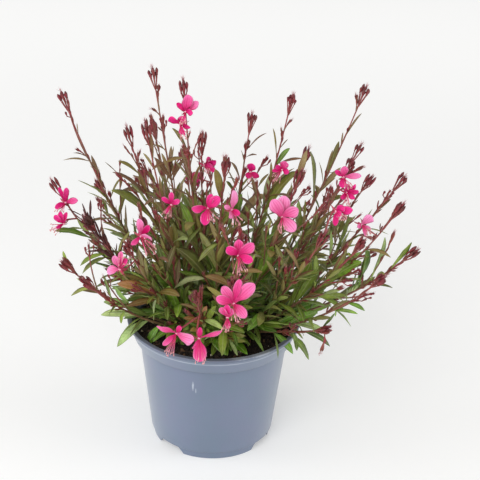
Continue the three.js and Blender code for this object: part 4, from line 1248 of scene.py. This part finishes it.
stemTree = makeGrowthTree("growStem", stemForms, leafForm["rippleCount"])
stemPieces = [dressStem(stem) for stem in stems]
settle(stemPieces, spareFields)
for stem, piece in zip(stems, stemPieces):
    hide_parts("leafy_stem_%02d" % (stem.number + 1))
    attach(piece, "root")
print("leafy stems dressed")

bloomForm = {
    "petalFlatness": 0.055, "petalFold": 0.3, "petalRipple": 0.22, "petalTwist": 0.33, "rippleCount": 1.3,
    "petalBulge": 0.16, "petalSag": 0.1, "petalWidening": 1.08, "stamens": 8, "stamenRadius": 0.17,
    "stamenReach": 7, "stamenFan": 0.5, "antherLength": 2.2, "antherRadius": 0.36, "styleLength": 15,
    "styleRadius": 0.22, "styleLean": 0.62, "styleTip": 0.3, "sepalLength": 9, "sepalHalfWidth": 0.8,
    "bulgeDraw": (0.4, 1.6), "foldDraw": (0.4, 1.5), "rippleDraw": (0.3, 1), "toneDraw": (0.8, 1.1),
    "stamenDraw": (0.8, 1.08), "fanDraw": (0.3, 1), "hangDraw": (0.72, 1), "firstStamen": -49,
    "stamenStep": 14, "stamenJitter": 0.16, "stamenLean": 0.65, "leanJitter": 0.2,
    "seed": 9001, "seedStep": 71,
}


def addPetals(growth, bloom, draws):
    form, start = bloomForm, bloom.throat - bloom.ahead * 0.8
    for x, y, forward, halfWidth, tone in bloom.petals:
        tip = fromPhoto(x, y, bloom.throat[1] - forward)
        length = size(tip - start)
        width = halfWidth * form["petalWidening"]
        bulge = form["petalBulge"] * length * draws(*form["bulgeDraw"])
        bend = (start + tip) / 2 + bloom.ahead * bulge + up * (form["petalSag"] * length)
        fold = form["petalFold"] * draws(*form["foldDraw"])
        ripple = form["petalRipple"] * draws(*form["rippleDraw"])
        twist = form["petalTwist"] * draws(-1, 1)
        pale, deep = (max(0, part) * draws(*form["toneDraw"]) for part in (tone, -tone))
        growth.add("petal", start, bend, tip, unit(cross(bloom.ahead, tip - start)),
                   (width, width, form["petalFlatness"]), (fold, ripple, twist), (pale, deep, 0))


def addStamens(growth, bloom, hang, draws):
    form, ahead, throat = bloomForm, bloom.ahead, bloom.throat
    start = throat - ahead * 0.6
    for i in range(form["stamens"]):
        angle = pi + radians(form["firstStamen"] + form["stamenStep"] * i)
        angle += form["stamenJitter"] * draws(-0.5, 0.5)
        lean = form["stamenLean"] + form["leanJitter"] * (draws() - 0.5 - i % 2)
        length = plant["stamenLength"] * bloom.size * draws(*form["stamenDraw"])
        finish = throat + bloom.fan(angle, lean) * length
        if bloom.stamenEnd:
            spread = form["stamenFan"] * draws(*form["fanDraw"])
            aside = leaned(unit(hang), 2 * pi * i / form["stamens"], spread)
            finish = throat + aside * size(hang) * draws(*form["hangDraw"])
        bend = (start + finish) / 2 + ahead * (0.16 * length)
        growth.addRound("filament", start, bend, finish, form["stamenRadius"])
        dangle = unit(unit(finish - bend) - up * 0.6 + 0.5 * bloom.right * draws(-0.5, 0.5))
        half = dangle * (form["antherLength"] * bloom.size / 2)
        growth.addRound("anther", finish - half, finish, finish + half, form["antherRadius"])
    finish = throat + hang
    growth.addRound("filament", start, (start + finish) / 2 + ahead * 1.2, finish, form["styleRadius"])
    for i in range(4):
        turn = i * pi / 2 + 0.6
        spread = unit(unit(finish - start) + 0.9 * (bloom.right * cos(turn) + bloom.above * sin(turn)))
        growth.addRound("anther", finish - spread * 0.2, finish + spread * 0.6, finish + spread * 1.3,
                        form["styleTip"])


def dressBloom(growth, bloom):
    form, ahead, throat, grown = bloomForm, bloom.ahead, bloom.throat, bloom.size
    draws = Draws(form["seed"] + form["seedStep"] * bloom.number)
    addPetals(growth, bloom, draws)
    if bloom.stamenEnd:
        hang = fromPhoto(*bloom.stamenEnd, throat[1] - form["stamenReach"] * grown) - throat
    else:
        hang = bloom.fan(pi, form["styleLean"]) * form["styleLength"] * grown
    addStamens(growth, bloom, hang, draws)
    start = throat - ahead * 1.2
    for i in range(4):
        outward = bloom.fan(radians(45 + 90 * i) - bloom.fanTurn + 0.3 * draws(-0.5, 0.5), 0.0)
        bend = start + outward * 3 * grown + ahead * 0.5
        finish = start + outward * 4.5 * grown - ahead * form["sepalLength"] * grown * 0.8
        growth.add("sepal", start, bend, finish, unit(cross(ahead, outward)),
                   (form["sepalHalfWidth"] * grown,) * 2 + (0.3,), (0.3, 0, 0))
    growth.addRound("filament", bloom.tubeEnd - ahead * 0.2, throat - ahead * 3, throat,
                    plant["tubeRadius"] * 0.8, plant["tubeRadius"] * 1.5)


bloomTree = makeGrowthTree("growBloom", bloomForms, bloomForm["rippleCount"])
bloomNodes = list(dict.fromkeys(bloom.node for bloom in grownBlooms))
bloomPieces = []
for node in bloomNodes:
    growth = Growth(bloomForms)
    for bloom in grownBlooms:
        if bloom.node == node:
            dressBloom(growth, bloom)
    words = node.split("_")
    name = words[0] + "".join(word.capitalize() for word in words[1:])
    bloomPieces.append(growth.asObject(name, bloomTree))
settle(bloomPieces, spareFields)
for node, piece in zip(bloomNodes, bloomPieces):
    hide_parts(node)
    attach(piece, "root")
print("blooms dressed")


# the pot

def solidMesh(name, points, faces):
    # a closed mesh from points in millimetres
    mesh = bpy.data.meshes.new(name)
    mesh.from_pydata((np.array(points) * mm + potAxis).tolist(), [], faces)
    grid = bmesh.new()
    grid.from_mesh(mesh)
    bmesh.ops.recalc_face_normals(grid, faces=grid.faces)
    grid.to_mesh(mesh)
    grid.free()
    return mesh


def roundedProfile(corners, radius, steps=3):
    # cuts each corner of a closed profile into a short arc
    points = []
    for i, place in enumerate(corners):
        before, corner, after = Vector(corners[i - 1]), Vector(place), Vector(corners[(i + 1) % len(corners)])
        if place[0] == 0:
            points.append(corner)
            continue
        cut = min(radius, (before - corner).length * 0.45, (after - corner).length * 0.45)
        a, b = corner + (before - corner).normalized() * cut, corner + (after - corner).normalized() * cut
        shares = [k / steps for k in range(steps + 1)]
        points += [a * (1 - t) ** 2 + corner * 2 * t * (1 - t) + b * t ** 2 for t in shares]
    return points


def lathe(name, profile, sides):
    points, rings = [], []
    for r, z in profile:
        turns = [2 * pi * j / sides for j in range(1 if r < 1e-6 else sides)]
        rings.append(range(len(points), len(points) + len(turns)))
        points += [(r * cos(turn), r * sin(turn), z) for turn in turns]
    return solidMesh(name, points, ringFaces(zip(rings, rings[1:] + rings[:1]), sides))


def makeCutter(name, outline, matrices, depth=12):
    points, faces, sides = [], [], len(outline)
    for matrix in matrices:
        n = len(points)
        points += [matrix @ Vector((x, y, z)) for y in (-depth / 2, depth / 2) for x, z in outline]
        faces += [list(range(n, n + sides)), list(range(n + 2 * sides - 1, n + sides - 1, -1))]
        for j in range(sides):
            k = (j + 1) % sides
            faces.append([n + k, n + j, n + sides + j, n + sides + k])
    return newObject(name, solidMesh(name, points, faces))


potLooks = {
    "base": "6A788E", "patches": "727895", "faded": "697D91", "scuff": "D3DCE6", "dust": "5C5866",
    # the dark tone paints shade and the light one after it paints highlights, in the lines below
    "dark": "4E5566", "worn": "C4CEDC",
    # lines painted round the pot, painted shade at the lip, the band's step and the foot and painted
    # highlight below the lip and below the step: tone, height, half width and strength of the line
    "lines": [("dark", 0.0965, 0.0012, 0.5), ("dark", 0.0848, 0.0008, 0.4), ("dark", 0.0062, 0.0009, 0.45),
              ("worn", 0.0935, 0.0008, 0.45), ("worn", 0.0832, 0.0007, 0.2)],
    # marks on the front, a scuff streak on the body and painted highlights on the rim's inner top edge:
    # middle, and reach across, in and up, in metres from the middle of the foot
    "marks": [((-0.0131, -0.0525, 0.0690), (0.0007, 0.004, 0.0042)),
              ((-0.0110, -0.0525, 0.0650), (0.0004, 0.004, 0.0022)),
              ((0.0330, -0.0520, 0.0985), (0.0170, 0.007, 0.0022)),
              ((0.0180, -0.0590, 0.0985), (0.0100, 0.004, 0.0016))],
}


def makePotMaterial():
    looks = potLooks
    material, tree, shader = newMaterial(
        "bluegreyPlastic", 0.32, Specular_IOR_Level=0.65, Sheen_Weight=0.25, Sheen_Roughness=0.4)
    color = mottled(tree, looks["base"], looks["patches"], 0.03, 0.6)
    color = mottled(tree, color, looks["faded"], 0.012, 0.35)
    place = objectPlace(tree)
    frayed, patchy = noise(place, 900.0, 2.0), noise(place, 60.0, 2.0)
    # one light tone for a real scuff on the body and for painted highlights on the rim's inner edge
    scuffsAndHighlights = 0.0
    for middle, reach in looks["marks"]:
        apart = (place - tuple(np.array(middle) + potAxis)).math("DIVIDE", reach).math("LENGTH", output=1)
        scuffsAndHighlights = mapped(apart + frayed, 1.6, 1.0).math("MAXIMUM", scuffsAndHighlights)
    color = mix(scuffsAndHighlights * 0.6, color, looks["scuff"])
    height = place.parts()[2]
    # the rim's top darker, in a purple-grey tone
    color = mix(mapped(height, 0.097, 0.0984) * 0.6, color, looks["dust"])
    # painted shade and painted highlights, as thin lines round the pot at the lip, the band's step and the
    # foot
    for tone, middle, half, strength in looks["lines"]:
        near = mapped((height - middle).math("ABSOLUTE"), half, 0.3 * half, 0.0, strength)
        color = mix(near * (patchy * 1.7), color, looks[tone])
    plug(shader["Base Color"], color)
    plug(shader["Normal"], grained(tree, 0.0012, 0.00006))
    streaks = noise(place * (1.0, 1.0, 0.12), 420.0, 3.0, 0.6)
    plug(shader["Roughness"], mapped(streaks, 0.3, 0.8, 0.31, 0.35))
    return material


def makePot():
    p = pot
    rim, height, lip, foot, wall = p["rimRadius"], p["height"], p["lipHeight"], p["footHeight"], p["wall"]
    underLip = rim - p["lipOverhang"]
    profile = [
        (0, foot), (p["footRadius"] - wall, foot), (p["footRadius"] - wall, 0), (p["footRadius"], 0),
        (p["footRadius"] + 0.4, foot - 0.5), (p["bodyBottomRadius"], foot),
        (p["bodyTopRadius"], p["bandBottomZ"] - 0.8), (p["bandBottomRadius"], p["bandBottomZ"]),
        (underLip, height - lip), (rim, height - lip + 0.5), (rim, height), (underLip - 2, height),
        (p["bandBottomRadius"] - wall, p["bandBottomZ"] + 1),
        (p["bodyTopRadius"] - wall, p["bandBottomZ"] - 1.8),
        (p["bodyBottomRadius"] - wall, foot + p["floor"]), (0, foot + p["floor"])]
    piece = newObject("plasticPot", lathe("plasticPot", roundedProfile(profile, p["rounding"]), p["sides"]))
    half, top, slant = p["notchWidth"] / 2, p["notchHeight"], p["notchSlant"]
    notch = [
        (-half - slant, -2), (-half - slant / 2, top * 0.35), (-half + 0.5, top * 0.85), (-half + 2, top),
        (half - 2, top), (half - 0.5, top * 0.85), (half + slant / 2, top * 0.35), (half + slant, -2)]
    circle = [(p["drainRadius"] * x, p["drainRadius"] * y) for x, y in ovalSection(24)]
    cutters = [
        makeCutter("notchCutter", notch, [
            Matrix.Rotation(radians(angle), 4, "Z") @ Matrix.Translation((0, -p["footRadius"], 0))
            for angle in p["notchAngles"]]),
        makeCutter("drainCutter", circle, [
            Matrix.Rotation(2 * pi * (i + 0.5) / p["drainHoles"], 4, "Z")
            @ Matrix.Translation((p["drainRing"], 0, foot)) @ Matrix.Rotation(pi / 2, 4, "X")
            for i in range(p["drainHoles"])])]
    for cutter in cutters:
        cut = piece.modifiers.new(cutter.name, "BOOLEAN")
        cut.operation, cut.object, cut.solver = "DIFFERENCE", cutter, "EXACT"
    settle([piece])
    for cutter in cutters:
        bpy.data.objects.remove(cutter)
    piece.data.shade_smooth()
    piece.data.set_sharp_from_angle(angle=radians(35))
    piece.data.materials.clear()
    piece.data.materials.append(makePotMaterial())
    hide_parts("pot")
    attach(piece, "root")


makePot()
print("pot made")


# the soil and its crumbs

# each grain: object, material, how many, size, stretch, seed of its shape, seed of its places, two tones
grains = [
    ("crumbGrain", "soilCrumb", 1500, 0.0015, (1, 1, 0.8), 3, 11, "1C130E", "3C2C20"),
    ("barkChip", "barkChip", 260, 0.0032, (1, 0.45, 0.3), 8, 12, "4A3524", "7A5C42"),
    ("perliteGrain", "perlite", 90, 0.0013, (1, 0.9, 0.8), 21, 13, "B9A98E", "D8CDB8"),
]
soilArea = pi * 0.06 ** 2


def makeSoilMaterial(name, dark, light):
    return makePlainMaterial(name, 0.9, dark, (light, 0.0025, 0.8), (0.0012, 0.0008))


def makeSoilBed():
    s, p = soil, pot
    fit, base, bandZ = p["wall"] + 0.6, p["footHeight"] + p["floor"] + 0.3, p["bandBottomZ"]
    share = (s["top"] - bandZ - 1) / (p["height"] - bandZ - 1)
    low, high = p["bandBottomRadius"], p["rimRadius"] - p["lipOverhang"]
    topRadius = low + (high - low) * share - fit
    profile = [
        (0, base), (p["bodyBottomRadius"] - fit, base), (p["bodyTopRadius"] - fit, bandZ - 2),
        (p["bandBottomRadius"] - fit - 0.4, bandZ + 1.6), (topRadius, s["top"] - 0.6)]
    profile += [(topRadius * (1 - (i + 1) / s["rings"]), s["top"]) for i in range(s["rings"] - 1)]
    mesh = lathe("soilBed", profile + [(0, s["top"])], s["sides"])
    for vertex in mesh.vertices:
        x, y = (vertex.co.x - potAxis[0]) / mm, (vertex.co.y - potAxis[1]) / mm
        if vertex.co.z / mm > s["top"] - 0.1:
            wave = sin(x / 6.1 + 1) * cos(y / 7.3) + 0.5 * sin((x + y) / 3.7)
            lumps = sin(x * 1.3 + 2 * sin(y * 0.9)) * sin(y * 1.1 + sin(x * 0.8))
            vertex.co.z += (s["relief"] / 1.5 * wave + 0.35 * lumps) * mm
    mesh.shade_smooth()
    mesh.materials.append(makeSoilMaterial("peatSoil", "120C09", "2E2119"))
    return newObject("soilBed", mesh)


def makeGrain(name, stretch, seed):
    # a lumpy little stone or chip of bark
    mesh = bpy.data.meshes.new(name)
    grid = bmesh.new()
    bmesh.ops.create_icosphere(grid, subdivisions=1, radius=1)
    draws = Draws(seed)
    for vertex in grid.verts:
        vertex.co = vertex.co * draws(0.75, 1.25) * Vector(stretch)
    grid.to_mesh(mesh)
    grid.free()
    return newObject(name, mesh, shown=False)


def makeScatterTree():
    tree, given, result = newGroup(
        "scatterOnSoil", "GeometryNodeTree", [("Geometry", "Geometry", None)], [("Geometry", "Geometry")])
    facesUp = addNode(tree, "GeometryNodeInputNormal")[0].parts()[2].math("GREATER_THAN", 0.6)
    joined = addNode(tree, "GeometryNodeJoinGeometry")
    for grain, finish, count, grainSize, stretch, seed, placeSeed, dark, light in grains:
        points = addNode(tree, "GeometryNodeDistributePointsOnFaces", {
            "Mesh": given[0], "Selection": facesUp, "Density": count / soilArea, "Seed": placeSeed})["Points"]
        turn = addNode(tree, "FunctionNodeRandomValue", {
            "Min": (0, 0, 0), "Max": (fullTurn,) * 3, "Seed": 3}, data_type="FLOAT_VECTOR")[0]
        scale = addNode(tree, "FunctionNodeRandomValue", {2: 0.5, 3: 1.25, "Seed": 5}, data_type="FLOAT")[1]
        shape = addNode(tree, "GeometryNodeObjectInfo", {"Object": makeGrain(grain, stretch, seed)})
        copies = addNode(tree, "GeometryNodeInstanceOnPoints", {
            "Points": points, "Instance": shape["Geometry"], "Rotation": turn, "Scale": scale * grainSize})
        solid = addNode(tree, "GeometryNodeRealizeInstances", {"Geometry": copies[0]})
        plug(joined.node.inputs[0], addNode(tree, "GeometryNodeSetMaterial", {
            "Geometry": solid[0], "Material": makeSoilMaterial(finish, dark, light)})[0])
    plug(result[0], joined[0])
    return tree


soilBed = makeSoilBed()
soilCrumbs = newObject("soilCrumbs", soilBed.data.copy())
soilCrumbs.modifiers.new("scatterOnSoil", "NODES").node_group = makeScatterTree()
settle([soilCrumbs])
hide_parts("soil")
for piece in (soilBed, soilCrumbs):
    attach(piece, "root")
print("soil made")


# the studio: floor, lights and camera

def makeFloor():
    mesh, reach = bpy.data.meshes.new("floor"), studio["floorReach"]
    corners = [(-reach, -reach, 0), (reach, -reach, 0), (reach, reach, 0), (-reach, reach, 0)]
    mesh.from_pydata(corners, [], [(0, 1, 2, 3)])
    floor = newObject("floor", mesh)
    material, tree, shader = newMaterial("paleFloor", 0.9, Specular_IOR_Level=0.1)
    shader["Base Color"].default_value = studio["floorTone"]
    shader["Emission Color"].default_value = studio["glowTone"]
    plug(shader["Emission Strength"], mapped(objectPlace(tree).parts()[1], *studio["glowReach"],
                                             *studio["floorGlow"], interpolation_type="SMOOTHSTEP"))
    mesh.materials.append(material)


def makeStudio():
    makeFloor()
    aim = Vector(potAxis) + Vector((0, 0, studio["aim"]))
    for name, (place, lightSize, power) in studio["lights"].items():
        data = bpy.data.lights.new(name, "AREA")
        data.shape, data.size, data.energy = "DISK", lightSize, power
        light = newObject(name, data)
        light.location = aim + Vector(place)
        light.rotation_euler = (-Vector(place)).to_track_quat("-Z", "Y").to_euler()
    world = bpy.data.worlds.new("paleRoom")
    world.use_nodes = True
    background = world.node_tree.nodes["Background"].inputs
    background["Color"].default_value = (1, 1, 1, 1)
    background["Strength"].default_value = studio["roomStrength"]
    bpy.context.scene.world = world
    right, upward, back = (Vector(axis) for axis in cameraAxes())
    data = bpy.data.cameras.new("camera")
    data.sensor_width = studio["sensor"]
    data.lens = studio["sensor"] * studio["focalPixels"] / studio["picture"]
    camera = newObject("camera", data)
    place = Vector(potAxis) + (Vector(studio["target"]) + back * studio["distance"]) * mm
    camera.matrix_world = Matrix.Translation(place) @ Matrix((right, upward, back)).transposed().to_4x4()
    bpy.context.scene.camera = camera
    bpy.context.scene.view_settings.view_transform = "Standard"


makeStudio()
print("studio set")

bpy.context.view_layer.update()
